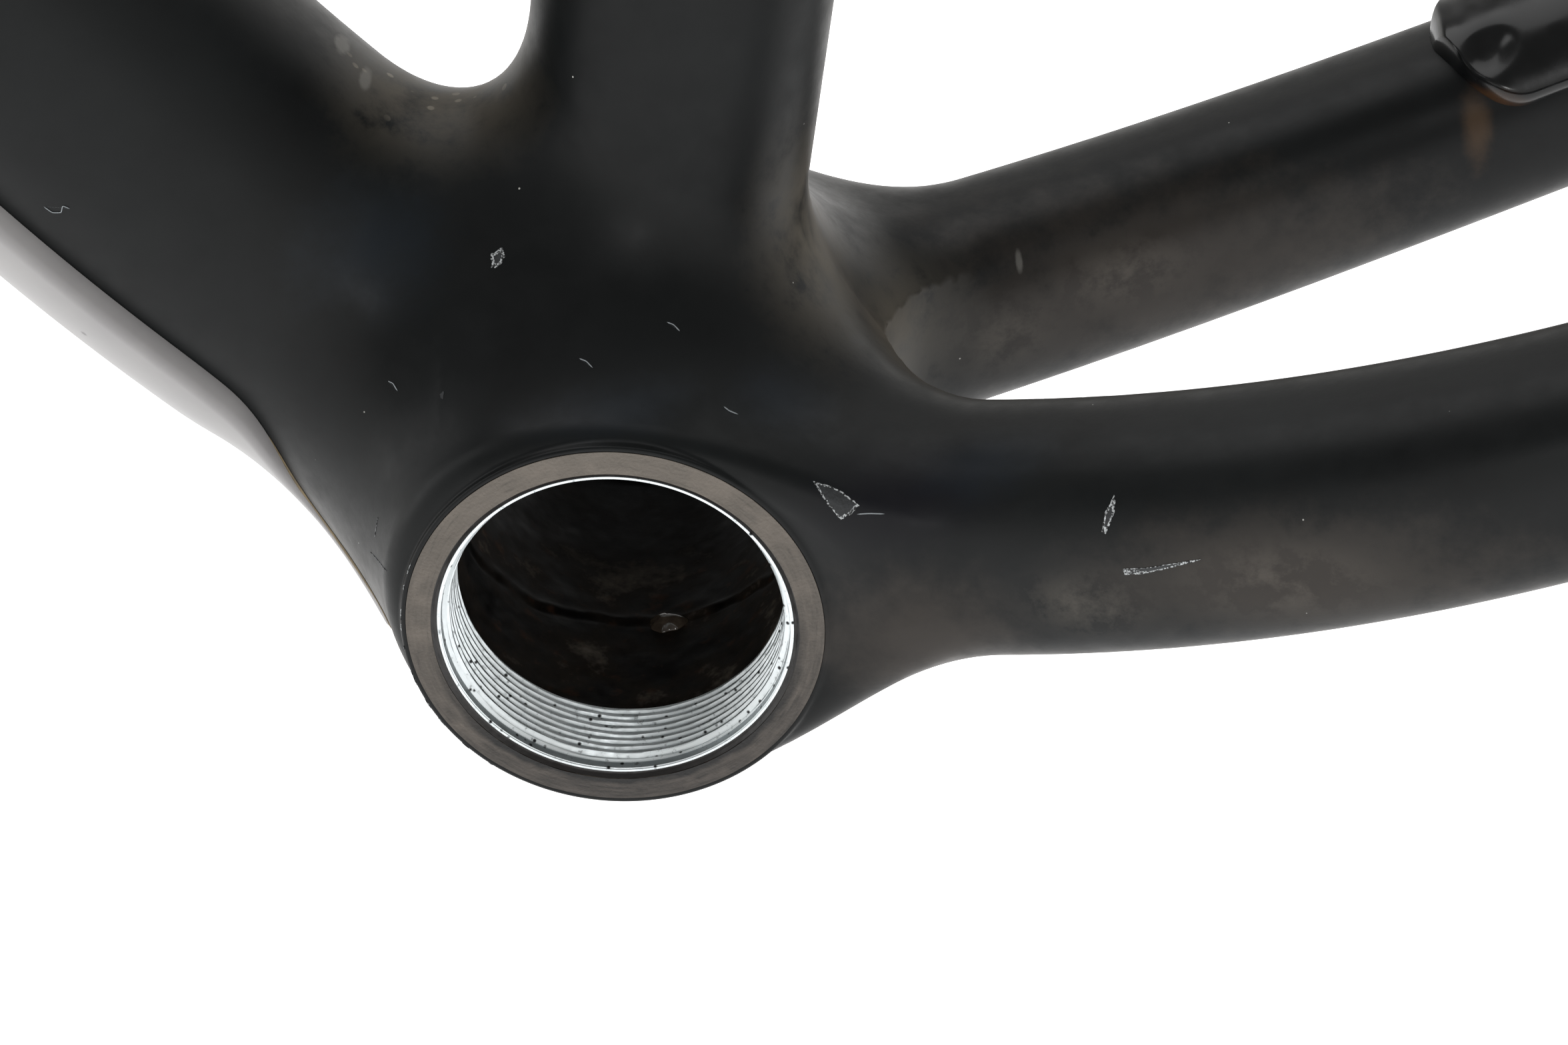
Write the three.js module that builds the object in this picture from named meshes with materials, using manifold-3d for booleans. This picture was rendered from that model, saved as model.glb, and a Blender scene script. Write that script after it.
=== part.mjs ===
// Bottom bracket junction of a moulded carbon bicycle frame: the threaded shell that carries the
// crank bearings, with the stubs of the four tubes that meet there. Millimetres, +Z up.
// The origin is the middle of the shell: +Y is its bore axis, towards the chain side of the
// bicycle, and +X points to the rear wheel.
import * as THREE from "three";
import { mergeVertices } from "three/addons/utils/BufferGeometryUtils.js";
import Module from "manifold-3d";

const wasm = await Module();
wasm.setup();

// ---------------------------------------------------------------- driving dimensions

// Threaded shell: 68 mm wide, 1.37 inch by 24 threads per inch. Radii, from the thread outwards.
const SHELL_WIDTH = 68;
const THREAD_PITCH = 25.4 / 24;
const THREAD_MAJOR = 17.4;
const THREAD_DEPTH = 0.55;
const THREAD_FLANK = 30; // degrees, half of the angle between two flanks
const THREAD_ROOT = 0.14; // flat left at the bottom of the groove
const MOUTH_CHAMFER = 0.1; // by which the mouth opens towards its edge
const TURNING_STOCK = 0.3; // inside the crests, on the blank that the thread is cut from
const INSERT_WALL = 0.45; // aluminium outside the thread's root
const INSERT_LENGTH = 9.6;
const INSERT_DEPTH = 0.5; // from the faced end to the insert's front edge
const LEAD_IN = 0.9; // unthreaded mouth of the insert
const BOND_LINE = 0.36; // epoxy round the insert
const FIT = 0.12; // radial gap left round each ring
const SLEEVE_WALL = 2.4; // carbon sleeve that the inserts are bonded into
const SKIN = 0.55; // laminate wrapped round the sleeve
const RIM_BEVEL = 0.35; // rounded paint edge of the laminate
const CORE_STEP = 0.25; // blended body, under the turned collar that faces it
const CORE_EDGE = 2; // rounding of the blended body's ends

// Laminate and joints of the tubes.
const TUBE_WALL = 2;
const NODE_WALL = 1.6; // laminate between the sleeve and the hollows of the junction
const JOINT_GAP = 0.3; // bond line between two tube ends
const LAP_LENGTH = 24; // internal sleeve that bridges a joint
const LAP_WALL = 1.4;
const LAP_GAP = 0.3;

// Each tube runs from the shell along `angle`, in degrees from +X towards +Z. Its section is a
// superellipse: `height` lies in the plane of the frame, `width` across it. At a distance s from
// the origin its centre is moved by lift(s) in the plane, a quarter turn on from the angle, and
// by splay(s) to each side. `joint` is where it leaves the junction, `end` is where it is cut.
const DOWN_TUBE = {
  angle: 125.9,
  height: 39.2,
  width: 39.3,
  square: 2.2,
  taper: 0,
  lift: (s) => 6.7 - 7.3 * (s / 60 - 1) ** 2,
  splay: () => 0,
  fillet: 22.5,
  joint: 60,
  end: 100,
};
const SEAT_TUBE = {
  angle: 74,
  height: 30,
  width: 30,
  square: 2,
  taper: 0,
  lift: () => 0.9,
  splay: () => 0,
  fillet: 17,
  joint: 56,
  end: 76,
};
const CHAINSTAY = {
  angle: -5.9,
  height: 24.8,
  width: 24,
  square: 2.7,
  taper: 0.021, // lost from the height and the width per millimetre of length
  lift: (s) => 2.4 + 22.5 * (s / 100) ** 2 - 3.2 * (s / 100) ** 3,
  splay: (s) => 11.2 + 43.7 * (s / 100) - 18.25 * (s / 100) ** 2,
  fillet: 17.6,
  joint: 54,
  end: 124,
};
const WEB = 12.6; // fillet between the inner sides of the two chainstays
const FACE_SLOPE = 0.3; // how fast the skin may rise outwards past the plane of the faced ring
const FACE_FILLET = 3;

// Down tube guard: a moulded cover stuck under the tube. It has a waist above the shell, and is
// thinner from there down to its lower end, which wraps under the shell.
const GUARD_THICKNESS = 1.5;
const GUARD_THIN = 0.5; // thickness at its lower end
const GUARD_THINNING = [20, 42]; // stretch of the down tube over which the thickness changes
const GUARD_START = 9; // along the down tube
const GUARD_HALF_ANGLE = 62; // degrees from the underside's middle to each edge
const GUARD_WAIST = 20; // degrees that each edge is drawn in at the waist
const GUARD_WAIST_AT = 24;
const GUARD_WAIST_LENGTH = 10;
const GUARD_NOSE = 5; // length over which its lower end narrows

// Chainstay protector: a moulded rubber cover on the chain side.
const PROTECTOR_THICKNESS = 2.1;
const PROTECTOR_START = 88.5;
const PROTECTOR_ANGLES = [-67, 57]; // from the inner side, over the top, to the outer side
const PROTECTOR_NOSE = 10;

const NOSE_WIDTH = 0.3; // share of a cover's width that is left at its tip
const TAPE = 0.3; // adhesive tape under the guard and the protector
const TAPE_GAP = 0.25; // left above and below the tape
const TAPE_MARGIN = 5; // tape's edge to the cover's edge

// Drop of cured resin on the floor of the sleeve.
const BEAD_RADIUS = 1.9;
const BEAD_HEIGHT = 1.1;
const BEAD_TURN = 1.5; // degrees from straight down, towards the rear wheel
const BEAD_Y = -6;

// Facets.
const AROUND = 48; // turned rings
const THREAD_STEPS = 24; // per turn of the thread, and round the insert
const TUBE_STEPS = 32; // round a tube
const CELL = 5.6; // of the grid that the blended body is traced on
const GUARD_PITCH = 6; // between stations along a cover
const PROTECTOR_PITCH = 12;
const TUBE_PITCH = 18; // between stations along a plain tube
const GUARD_COLUMNS = 19; // across a cover
const GUARD_TAPE_COLUMNS = 13;
const PROTECTOR_COLUMNS = 13;
const PROTECTOR_TAPE_COLUMNS = 9;
const CUT_HEIGHT = 1.7; // a cutting box's height, in heights of its tube
const SLOPE_STEP = 0.05; // over which the slope of the surface is measured
const LEAST_SLOPE = 0.2; // squared, below which a point is moved no faster

// ---------------------------------------------------------------- derived sizes

const HALF_SHELL = SHELL_WIDTH / 2;
const INSERT_RADIUS = THREAD_MAJOR + INSERT_WALL;
const THREAD_MINOR = THREAD_MAJOR - THREAD_DEPTH;
const BOND_INNER = INSERT_RADIUS + FIT;
const BOND_OUTER = BOND_INNER + BOND_LINE;
const SLEEVE_BORE = BOND_OUTER + FIT;
const SLEEVE_RADIUS = SLEEVE_BORE + SLEEVE_WALL;
const SEAT_RADIUS = SLEEVE_RADIUS + FIT;
const SHELL_RADIUS = SEAT_RADIUS + SKIN;
const CORE_RADIUS = SHELL_RADIUS - CORE_STEP;
const GUARD_LIFT = TAPE + 2 * TAPE_GAP;

// ---------------------------------------------------------------- shape of the outer surface

const radians = THREE.MathUtils.degToRad;

// Distances along a tube and, across it, from its centre. side is -1 for a left chainstay.
function inTube(tube, x, y, z, side = 1) {
  const c = Math.cos(radians(tube.angle));
  const s = Math.sin(radians(tube.angle));
  const along = x * c + z * s;
  return {
    along,
    across: z * c - x * s - tube.lift(along),
    sideways: side * y - tube.splay(along),
  };
}

// Distance to a tube's surface, negative inside.
function tubeField(tube, x, y, z, side = 1) {
  const p = inTube(tube, x, y, z, side);
  const a = (tube.height - tube.taper * p.along) / 2;
  const b = (tube.width - tube.taper * p.along) / 2;
  const n = tube.square;
  const u = Math.abs(p.across) / a;
  const v = Math.abs(p.sideways) / b;
  const k = (u ** n + v ** n + 1e-9) ** (1 / n);
  const slope = k ** (1 - n) * Math.hypot(u ** (n - 1) / a, v ** (n - 1) / b) + 1e-6;
  return Math.max((k - 1) / slope, -p.along, p.along - tube.end);
}

// Distance to the shell, with its edges rounded a little.
function shellField(x, y, z) {
  const r = Math.hypot(x, z) - (CORE_RADIUS - CORE_EDGE);
  const w = Math.abs(y) - (HALF_SHELL - CORE_EDGE);
  return Math.min(Math.max(r, w), 0) + Math.hypot(Math.max(r, 0), Math.max(w, 0)) - CORE_EDGE;
}

// Two bodies joined with a round fillet.
function blend(a, b, radius) {
  const u = Math.max(radius - a, 0);
  const v = Math.max(radius - b, 0);
  return Math.max(radius, Math.min(a, b)) - Math.hypot(u, v);
}

// The whole skin, with its tubes as long as they are asked to be. Round the faced ring it stays
// under a shallow cone that starts just below the ring's plane.
function bodyField(x, y, z, tubes = [DOWN_TUBE, SEAT_TUBE, CHAINSTAY]) {
  const [down, seat, stay] = tubes;
  const stays = blend(tubeField(stay, x, y, z, 1), tubeField(stay, x, y, z, -1), WEB);
  let d = blend(shellField(x, y, z), tubeField(down, x, y, z), down.fillet);
  d = blend(d, tubeField(seat, x, y, z), seat.fillet);
  d = blend(d, stays, stay.fillet);
  const rise = FACE_SLOPE * (Math.hypot(x, z) - SHELL_RADIUS) - RIM_BEVEL;
  const cone = (Math.abs(y) - HALF_SHELL - rise) / Math.hypot(1, FACE_SLOPE);
  return -blend(-d, -cone, FACE_FILLET);
}

const lengthened = [DOWN_TUBE, SEAT_TUBE, CHAINSTAY].map((t) => ({ ...t, end: 2 * t.end }));
const openBody = (x, y, z) => bodyField(x, y, z, lengthened);

// ---------------------------------------------------------------- making solids

const meshes = [];

function addMesh(name, geometry, finish) {
  const mesh = new THREE.Mesh(geometry, new THREE.MeshStandardMaterial(finish));
  mesh.name = name;
  meshes.push(mesh);
}

// A closed geometry as a solid that can be cut.
function toSolid(geometry) {
  const bare = geometry.clone();
  bare.deleteAttribute("normal");
  bare.deleteAttribute("uv");
  const merged = mergeVertices(bare, 1e-5);
  const vertProperties = new Float32Array(merged.attributes.position.array);
  const triVerts = new Uint32Array(merged.index.array);
  return new wasm.Manifold(new wasm.Mesh({ numProp: 3, vertProperties, triVerts }));
}

function toGeometry(solid) {
  const mesh = solid.getMesh();
  const geometry = new THREE.BufferGeometry();
  const positions = new THREE.BufferAttribute(mesh.vertProperties, mesh.numProp);
  geometry.setAttribute("position", positions);
  geometry.setIndex(new THREE.BufferAttribute(mesh.triVerts, 1));
  geometry.computeVertexNormals();
  return geometry;
}

// Points and faces as a geometry with its faces pointing out.
function fromFaces(points, faces) {
  const at = (i) => new THREE.Vector3(...points[i]);
  let volume = 0;
  for (const [a, b, c] of faces) volume += at(a).dot(at(b).cross(at(c)));
  const index = faces.flatMap(([a, b, c]) => (volume > 0 ? [a, b, c] : [a, c, b]));
  const geometry = new THREE.BufferGeometry();
  geometry.setAttribute("position", new THREE.Float32BufferAttribute(points.flat(), 3));
  geometry.setIndex(index);
  geometry.computeVertexNormals();
  return geometry;
}

// A ring turned about the bore axis, from a closed outline of [radius, y] points.
function turned(outline, steps = AROUND) {
  const area = outline.reduce((sum, [r, y], i) => {
    const [nextR, nextY] = outline[(i + 1) % outline.length];
    return sum + r * nextY - nextR * y;
  }, 0);
  const ordered = area > 0 ? outline : [...outline].reverse();
  const points = [...ordered, ordered[0]].map(([r, y]) => new THREE.Vector2(r, y));
  return new THREE.LatheGeometry(points, steps);
}

// A closed sheet between two grids of points. `ring` closes each row on itself.
function thickSheet(outer, inner, ring) {
  const rows = outer.length;
  const cols = outer[0].length;
  const points = [...outer.flat(), ...inner.flat()];
  const top = (i, j) => i * cols + (j % cols);
  const low = (i, j) => rows * cols + top(i, j);
  const faces = [];
  const quad = (a, b, c, d) => faces.push([a, b, c], [a, c, d]);
  const spans = ring ? cols : cols - 1;
  for (let i = 0; i < rows - 1; i++) {
    for (let j = 0; j < spans; j++) {
      quad(top(i, j), top(i, j + 1), top(i + 1, j + 1), top(i + 1, j));
      quad(low(i, j), low(i + 1, j), low(i + 1, j + 1), low(i, j + 1));
    }
  }
  for (let j = 0; j < spans; j++) {
    const last = rows - 1;
    quad(top(0, j), low(0, j), low(0, j + 1), top(0, j + 1));
    quad(top(last, j), top(last, j + 1), low(last, j + 1), low(last, j));
  }
  if (!ring) {
    for (let i = 0; i < rows - 1; i++) {
      const j = cols - 1;
      quad(top(i, 0), top(i + 1, 0), low(i + 1, 0), low(i, 0));
      quad(top(i, j), low(i, j), low(i + 1, j), top(i + 1, j));
    }
  }
  return fromFaces(points, faces);
}

// The point of a tube's section at s, seen at `turn` degrees from the tube's own centre, where a
// field has a level. The turn starts on the section's upper side and runs towards +Y.
function sectionPoint(tube, field, s, turn, level, side) {
  const c = Math.cos(radians(tube.angle));
  const n = Math.sin(radians(tube.angle));
  const at = (r) => {
    const across = tube.lift(s) + r * Math.cos(radians(turn));
    const y = side * (tube.splay(s) + r * Math.sin(radians(turn)));
    return [s * c - across * n, y, s * n + across * c];
  };
  let near = 1;
  let far = Math.max(tube.height, tube.width);
  for (let i = 0; i < 40; i++) {
    const middle = (near + far) / 2;
    if (field(...at(middle)) < level) near = middle;
    else far = middle;
  }
  return at((near + far) / 2);
}

const spread = (from, to, count) =>
  Array.from({ length: count }, (_, i) => from + ((to - from) * i) / (count - 1));

// Rows of points round a tube at one level of its surface.
function tubeRows(tube, from, to, level, side) {
  const open = { ...tube, end: to + tube.height };
  const wide = (x, y, z) => tubeField(open, x, y, z, side);
  const turns = spread(0, 360, TUBE_STEPS + 1).slice(0, -1);
  const count = Math.max(2, Math.ceil((to - from) / TUBE_PITCH) + 1);
  return spread(from, to, count).map((s) =>
    turns.map((turn) => sectionPoint(tube, wide, s, turn, level, side)),
  );
}

function tubeWall(tube, from, to, outer, inner, side = 1) {
  const outside = tubeRows(tube, from, to, outer, side);
  const inside = tubeRows(tube, from, to, inner, side);
  return thickSheet(outside, inside, true);
}

// A solid plug that fills a tube at one level of its surface.
function tubePlug(tube, from, to, level, side = 1) {
  const rows = tubeRows(tube, from, to, level, side);
  const cols = TUBE_STEPS;
  const last = (rows.length - 1) * cols;
  const points = rows.flat();
  const faces = [];
  for (let i = 0; i < last; i += cols) {
    for (let j = 0; j < cols; j++) {
      const k = (j + 1) % cols;
      faces.push([i + j, i + k, i + cols + k], [i + j, i + cols + k, i + cols + j]);
    }
  }
  for (let j = 1; j < cols - 1; j++) {
    faces.push([0, j + 1, j], [last, last + j, last + j + 1]);
  }
  return fromFaces(points, faces);
}

// A box that holds all of a tube past s.
function beyond(tube, s, widest) {
  const length = tube.end;
  const box = new THREE.BoxGeometry(length, widest, tube.height * CUT_HEIGHT);
  box.translate(s + length / 2, 0, tube.lift(s));
  box.rotateY(-radians(tube.angle));
  return toSolid(box);
}

// A closed surface where a field is zero, traced on a grid: one point in each cell that the
// surface crosses, moved onto it, and one four-sided face round each grid edge that it crosses.
function traceSurface(field, low, high) {
  const size = low.map((v, i) => Math.ceil((high[i] - v) / CELL) + 1);
  const steps = [1, size[0], size[0] * size[1]];
  const values = new Float64Array(size[0] * size[1] * size[2]);
  const place = (i, j, k) => [low[0] + i * CELL, low[1] + j * CELL, low[2] + k * CELL];
  for (let k = 0, m = 0; k < size[2]; k++) {
    for (let j = 0; j < size[1]; j++) {
      for (let i = 0; i < size[0]; i++, m++) values[m] = field(...place(i, j, k));
    }
  }
  const points = [];
  const cellPoint = new Map();
  const onto = (p) => {
    for (let pass = 0; pass < 4; pass++) {
      const d = field(...p);
      const g = [0, 1, 2].map((a) => {
        const q = [...p];
        q[a] += SLOPE_STEP;
        return (field(...q) - d) / SLOPE_STEP;
      });
      const gg = Math.max(g[0] ** 2 + g[1] ** 2 + g[2] ** 2, LEAST_SLOPE);
      for (let a = 0; a < 3; a++) p[a] -= (d * g[a]) / gg;
    }
    return p;
  };
  const cells = [size[0] - 1, size[1] - 1, size[2] - 1];
  for (let k = 0; k < cells[2]; k++) {
    for (let j = 0; j < cells[1]; j++) {
      for (let i = 0; i < cells[0]; i++) {
        const base = i + j * steps[1] + k * steps[2];
        const sum = [0, 0, 0];
        let crossings = 0;
        for (let axis = 0; axis < 3; axis++) {
          for (let corner = 0; corner < 4; corner++) {
            const offset = [0, 0, 0];
            offset[(axis + 1) % 3] = corner & 1;
            offset[(axis + 2) % 3] = corner >> 1;
            const a = base + offset[0] + offset[1] * steps[1] + offset[2] * steps[2];
            const b = a + steps[axis];
            if (values[a] < 0 === values[b] < 0) continue;
            const t = values[a] / (values[a] - values[b]);
            const start = place(i + offset[0], j + offset[1], k + offset[2]);
            start[axis] += t * CELL;
            for (let c = 0; c < 3; c++) sum[c] += start[c];
            crossings++;
          }
        }
        if (crossings === 0) continue;
        cellPoint.set(base, points.length);
        points.push(onto(sum.map((v) => v / crossings)));
      }
    }
  }
  const faces = [];
  for (let k = 1; k < cells[2]; k++) {
    for (let j = 1; j < cells[1]; j++) {
      for (let i = 1; i < cells[0]; i++) {
        const base = i + j * steps[1] + k * steps[2];
        for (let axis = 0; axis < 3; axis++) {
          const b = base + steps[axis];
          if (values[base] < 0 === values[b] < 0) continue;
          const u = steps[(axis + 1) % 3];
          const v = steps[(axis + 2) % 3];
          const quad = [base, base - u, base - u - v, base - v].map((m) => cellPoint.get(m));
          if (values[base] > 0) quad.reverse();
          faces.push([quad[0], quad[1], quad[2]], [quad[0], quad[2], quad[3]]);
        }
      }
    }
  }
  return fromFaces(points, faces);
}

// ---------------------------------------------------------------- finishes

const CARBON_SKIN = { color: 0x24262a, roughness: 0.55, metalness: 0 };
const RAW_CARBON = { color: 0x5a4f46, roughness: 0.7, metalness: 0 };
const ALUMINIUM = { color: 0xb9bcc0, roughness: 0.3, metalness: 1 };
const EPOXY = { color: 0x1d1a17, roughness: 0.4, metalness: 0 };
const GUARD_PLASTIC = { color: 0x9b9a9c, roughness: 0.35, metalness: 0 };
const RUBBER = { color: 0x141416, roughness: 0.45, metalness: 0 };
const ADHESIVE = { color: 0x8d7440, roughness: 0.6, metalness: 0 };
const RESIN = { color: 0x6a4522, roughness: 0.15, metalness: 0 };

// ---------------------------------------------------------------- shell

addMesh(
  "bb_sleeve",
  turned([
    [SLEEVE_BORE, -HALF_SHELL],
    [SLEEVE_RADIUS, -HALF_SHELL],
    [SLEEVE_RADIUS, HALF_SHELL],
    [SLEEVE_BORE, HALF_SHELL],
  ]),
  RAW_CARBON,
);

// A threaded bar that fills the inside of an insert. hand is 1 for a right-hand thread and -1 for
// a left-hand one. Each row holds the four corners of one turn's outline; the next corner is the
// first one of the row a full turn on.
function threadedBar(from, to, hand) {
  const flank = THREAD_DEPTH * Math.tan(radians(THREAD_FLANK));
  const crest = THREAD_PITCH - THREAD_ROOT - 2 * flank;
  const outline = [
    [THREAD_MINOR, 0],
    [THREAD_MINOR, crest],
    [THREAD_MAJOR, crest + flank],
    [THREAD_MAJOR, crest + flank + THREAD_ROOT],
  ];
  const count = Math.ceil(((to - from) / THREAD_PITCH) * THREAD_STEPS);
  const points = [];
  for (let i = 0; i <= count + THREAD_STEPS; i++) {
    const angle = (2 * Math.PI * i) / THREAD_STEPS;
    const y = from + (THREAD_PITCH * i) / THREAD_STEPS;
    for (const [r, dy] of outline) {
      points.push([r * Math.cos(angle), y + dy, -hand * r * Math.sin(angle)]);
    }
  }
  const at = (i, j) => (j < 4 ? 4 * i + j : 4 * (i + THREAD_STEPS));
  const faces = [];
  for (let i = 0; i < count; i++) {
    for (let j = 0; j < 4; j++) {
      faces.push([at(i, j), at(i, j + 1), at(i + 1, j + 1)]);
      faces.push([at(i, j), at(i + 1, j + 1), at(i + 1, j)]);
    }
  }
  for (const [row, y, flip] of [
    [0, from - THREAD_PITCH, false],
    [count, to + 3 * THREAD_PITCH, true],
  ]) {
    const centre = points.push([0, y, 0]) - 1;
    const rim = [];
    for (let j = 0; j < 4; j++) rim.push(at(row, j));
    for (let i = row + THREAD_STEPS; i > row; i--) rim.push(at(i, 0));
    for (let m = 0; m < rim.length; m++) {
      const [a, b] = [rim[m], rim[(m + 1) % rim.length]];
      faces.push(flip ? [centre, a, b] : [centre, b, a]);
    }
  }
  const used = [...new Set(faces.flat())];
  const place = new Map(used.map((old, i) => [old, i]));
  return fromFaces(
    used.map((i) => points[i]),
    faces.map((face) => face.map((i) => place.get(i))),
  );
}

// Both ends of the shell are alike, but for the hand of the thread: the chain side has a
// left-hand thread, so that the pedalling does not unscrew its cup.
for (const [name, end, hand] of [
  ["left", -1, 1],
  ["right", 1, -1],
]) {
  const front = end * (HALF_SHELL - INSERT_DEPTH);
  const back = front - end * INSERT_LENGTH;
  const mouth = front - end * LEAD_IN;
  const stock = THREAD_MINOR - TURNING_STOCK;
  const outline = [
    [INSERT_RADIUS, front],
    [INSERT_RADIUS, back],
    [stock, back],
    [stock, mouth - end * (THREAD_MAJOR - stock)],
    [THREAD_MAJOR, mouth],
    [THREAD_MAJOR + MOUTH_CHAMFER, front],
  ];
  const blank = turned(outline, THREAD_STEPS);
  const first = Math.min(front, back) - 2 * THREAD_PITCH;
  const last = Math.max(front, back) + THREAD_PITCH;
  const insert = toSolid(blank).subtract(toSolid(threadedBar(first, last, hand)));
  addMesh(`threaded_insert_${name}`, toGeometry(insert), ALUMINIUM);
  addMesh(
    `insert_bond_${name}`,
    turned([
      [BOND_INNER, front],
      [BOND_OUTER, end * (HALF_SHELL - FIT)],
      [BOND_OUTER, back],
      [BOND_INNER, back],
    ]),
    EPOXY,
  );
}

// ---------------------------------------------------------------- junction

// Room left round the body for the blends, and past a joint for the hollows that are cut there.
const BLEND_ROOM = 25;
const BELLY_ROOM = 10;
const PAST_JOINT = 10;
const junctionBody = traceSurface(
  (x, y, z) => {
    const d = bodyField(x, y, z);
    const past = [DOWN_TUBE, SEAT_TUBE, CHAINSTAY].map((tube) => {
      const { along, across } = inTube(tube, x, y, z);
      return Math.abs(across) < tube.height ? along - tube.joint - CELL : -CELL;
    });
    return Math.max(d, ...past);
  },
  [-DOWN_TUBE.joint - BLEND_ROOM, -HALF_SHELL - BLEND_ROOM, -SHELL_RADIUS - BELLY_ROOM],
  [CHAINSTAY.joint + 3 * CELL, HALF_SHELL + BLEND_ROOM, DOWN_TUBE.joint + BLEND_ROOM],
);
const collar = toSolid(
  turned([
    [SEAT_RADIUS, -HALF_SHELL],
    [SHELL_RADIUS - RIM_BEVEL, -HALF_SHELL],
    [SHELL_RADIUS, -HALF_SHELL + RIM_BEVEL],
    [SHELL_RADIUS, HALF_SHELL - RIM_BEVEL],
    [SHELL_RADIUS - RIM_BEVEL, HALF_SHELL],
    [SEAT_RADIUS, HALF_SHELL],
  ]),
);
const round = (radius, width) => toSolid(new THREE.CylinderGeometry(radius, radius, width, AROUND));
const seat = round(SEAT_RADIUS, SHELL_WIDTH * 2);
const node = round(SEAT_RADIUS + NODE_WALL, SHELL_WIDTH);

let junction = toSolid(junctionBody).add(collar).subtract(seat);
for (const [tube, sides] of [
  [DOWN_TUBE, [1]],
  [SEAT_TUBE, [1]],
  [CHAINSTAY, [1, -1]],
]) {
  const widest = 2 * (tube.splay(tube.end) + tube.width);
  junction = junction.subtract(beyond(tube, tube.joint - JOINT_GAP / 2, widest));
  for (const side of sides) {
    const hollow = tubePlug(tube, THREAD_MINOR / 2, tube.joint + PAST_JOINT, -TUBE_WALL, side);
    junction = junction.subtract(toSolid(hollow).subtract(node));
  }
}
addMesh("junction_moulding", toGeometry(junction), CARBON_SKIN);

// ---------------------------------------------------------------- tubes and their lap sleeves

for (const [name, tube, side] of [
  ["down_tube", DOWN_TUBE, 1],
  ["seat_tube", SEAT_TUBE, 1],
  ["chainstay_left", CHAINSTAY, -1],
  ["chainstay_right", CHAINSTAY, 1],
]) {
  const start = tube.joint + JOINT_GAP / 2;
  addMesh(name, tubeWall(tube, start, tube.end, 0, -TUBE_WALL, side), CARBON_SKIN);
  const lap = TUBE_WALL + LAP_GAP;
  const [from, to] = [tube.joint - LAP_LENGTH / 2, tube.joint + LAP_LENGTH / 2];
  const sleeve = tubeWall(tube, from, to, -lap, -lap - LAP_WALL, side);
  addMesh(`${name}_lap_sleeve`, sleeve, RAW_CARBON);
}

// ---------------------------------------------------------------- covers

// A cover stuck on a tube. At each of its stations `edges` gives the turns that it spans, and
// `thickness` what it adds to `lift`, its clearance over the surface.
function cover(tube, stations, columns, edges, lift, thickness) {
  const grid = (level) =>
    stations.map((s) =>
      spread(...edges(s), columns).map((turn) => {
        return sectionPoint(tube, openBody, s, turn, level(s), 1);
      }),
    );
  return thickSheet(
    grid((s) => lift + thickness(s)),
    grid(() => lift),
    false,
  );
}

// Narrows a cover towards its rounded nose.
const nose = (s, start, length) => {
  const t = THREE.MathUtils.clamp((s - start) / length, 0, 1);
  return NOSE_WIDTH + (1 - NOSE_WIDTH) * Math.sin((t * Math.PI) / 2);
};

const stationsFrom = (start, noseLength, end, pitch) => [
  ...spread(start, start + noseLength, 5),
  ...spread(start + noseLength, end, 1 + Math.ceil((end - start - noseLength) / pitch)).slice(1),
];

const guardEdges = (inset) => (s) => {
  const waist = GUARD_WAIST * Math.exp(-(((s - GUARD_WAIST_AT) / GUARD_WAIST_LENGTH) ** 2));
  const half = (GUARD_HALF_ANGLE - waist) * nose(s, GUARD_START, GUARD_NOSE) - inset;
  return [-half, half];
};
const guardThickness = (s) => {
  const share = THREE.MathUtils.smoothstep(s, ...GUARD_THINNING);
  return GUARD_THIN + (GUARD_THICKNESS - GUARD_THIN) * share;
};
addMesh(
  "down_tube_guard",
  cover(
    DOWN_TUBE,
    stationsFrom(GUARD_START, GUARD_NOSE, DOWN_TUBE.end, GUARD_PITCH),
    GUARD_COLUMNS,
    guardEdges(0),
    GUARD_LIFT,
    guardThickness,
  ),
  GUARD_PLASTIC,
);
addMesh(
  "down_tube_guard_tape",
  cover(
    DOWN_TUBE,
    stationsFrom(
      GUARD_START + TAPE_MARGIN,
      GUARD_NOSE,
      DOWN_TUBE.end - TAPE_MARGIN,
      GUARD_PITCH,
    ),
    GUARD_TAPE_COLUMNS,
    guardEdges((2 * 180 * TAPE_MARGIN) / (Math.PI * DOWN_TUBE.width)),
    TAPE_GAP,
    () => TAPE,
  ),
  ADHESIVE,
);

const protectorEdges = (inset) => (s) => {
  const k = nose(s, PROTECTOR_START, PROTECTOR_NOSE);
  const [low, high] = PROTECTOR_ANGLES;
  const middle = (low + high) / 2;
  return [middle + (low - middle) * k + inset, middle + (high - middle) * k - inset];
};
addMesh(
  "chainstay_protector",
  cover(
    CHAINSTAY,
    stationsFrom(PROTECTOR_START, PROTECTOR_NOSE, CHAINSTAY.end, PROTECTOR_PITCH),
    PROTECTOR_COLUMNS,
    protectorEdges(0),
    GUARD_LIFT,
    () => PROTECTOR_THICKNESS,
  ),
  RUBBER,
);
addMesh(
  "chainstay_protector_tape",
  cover(
    CHAINSTAY,
    stationsFrom(
      PROTECTOR_START + TAPE_MARGIN,
      PROTECTOR_NOSE,
      CHAINSTAY.end - TAPE_MARGIN,
      PROTECTOR_PITCH,
    ),
    PROTECTOR_TAPE_COLUMNS,
    protectorEdges((2 * 180 * TAPE_MARGIN) / (Math.PI * CHAINSTAY.width)),
    TAPE_GAP,
    () => TAPE,
  ),
  ADHESIVE,
);

// ---------------------------------------------------------------- resin drop

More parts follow.
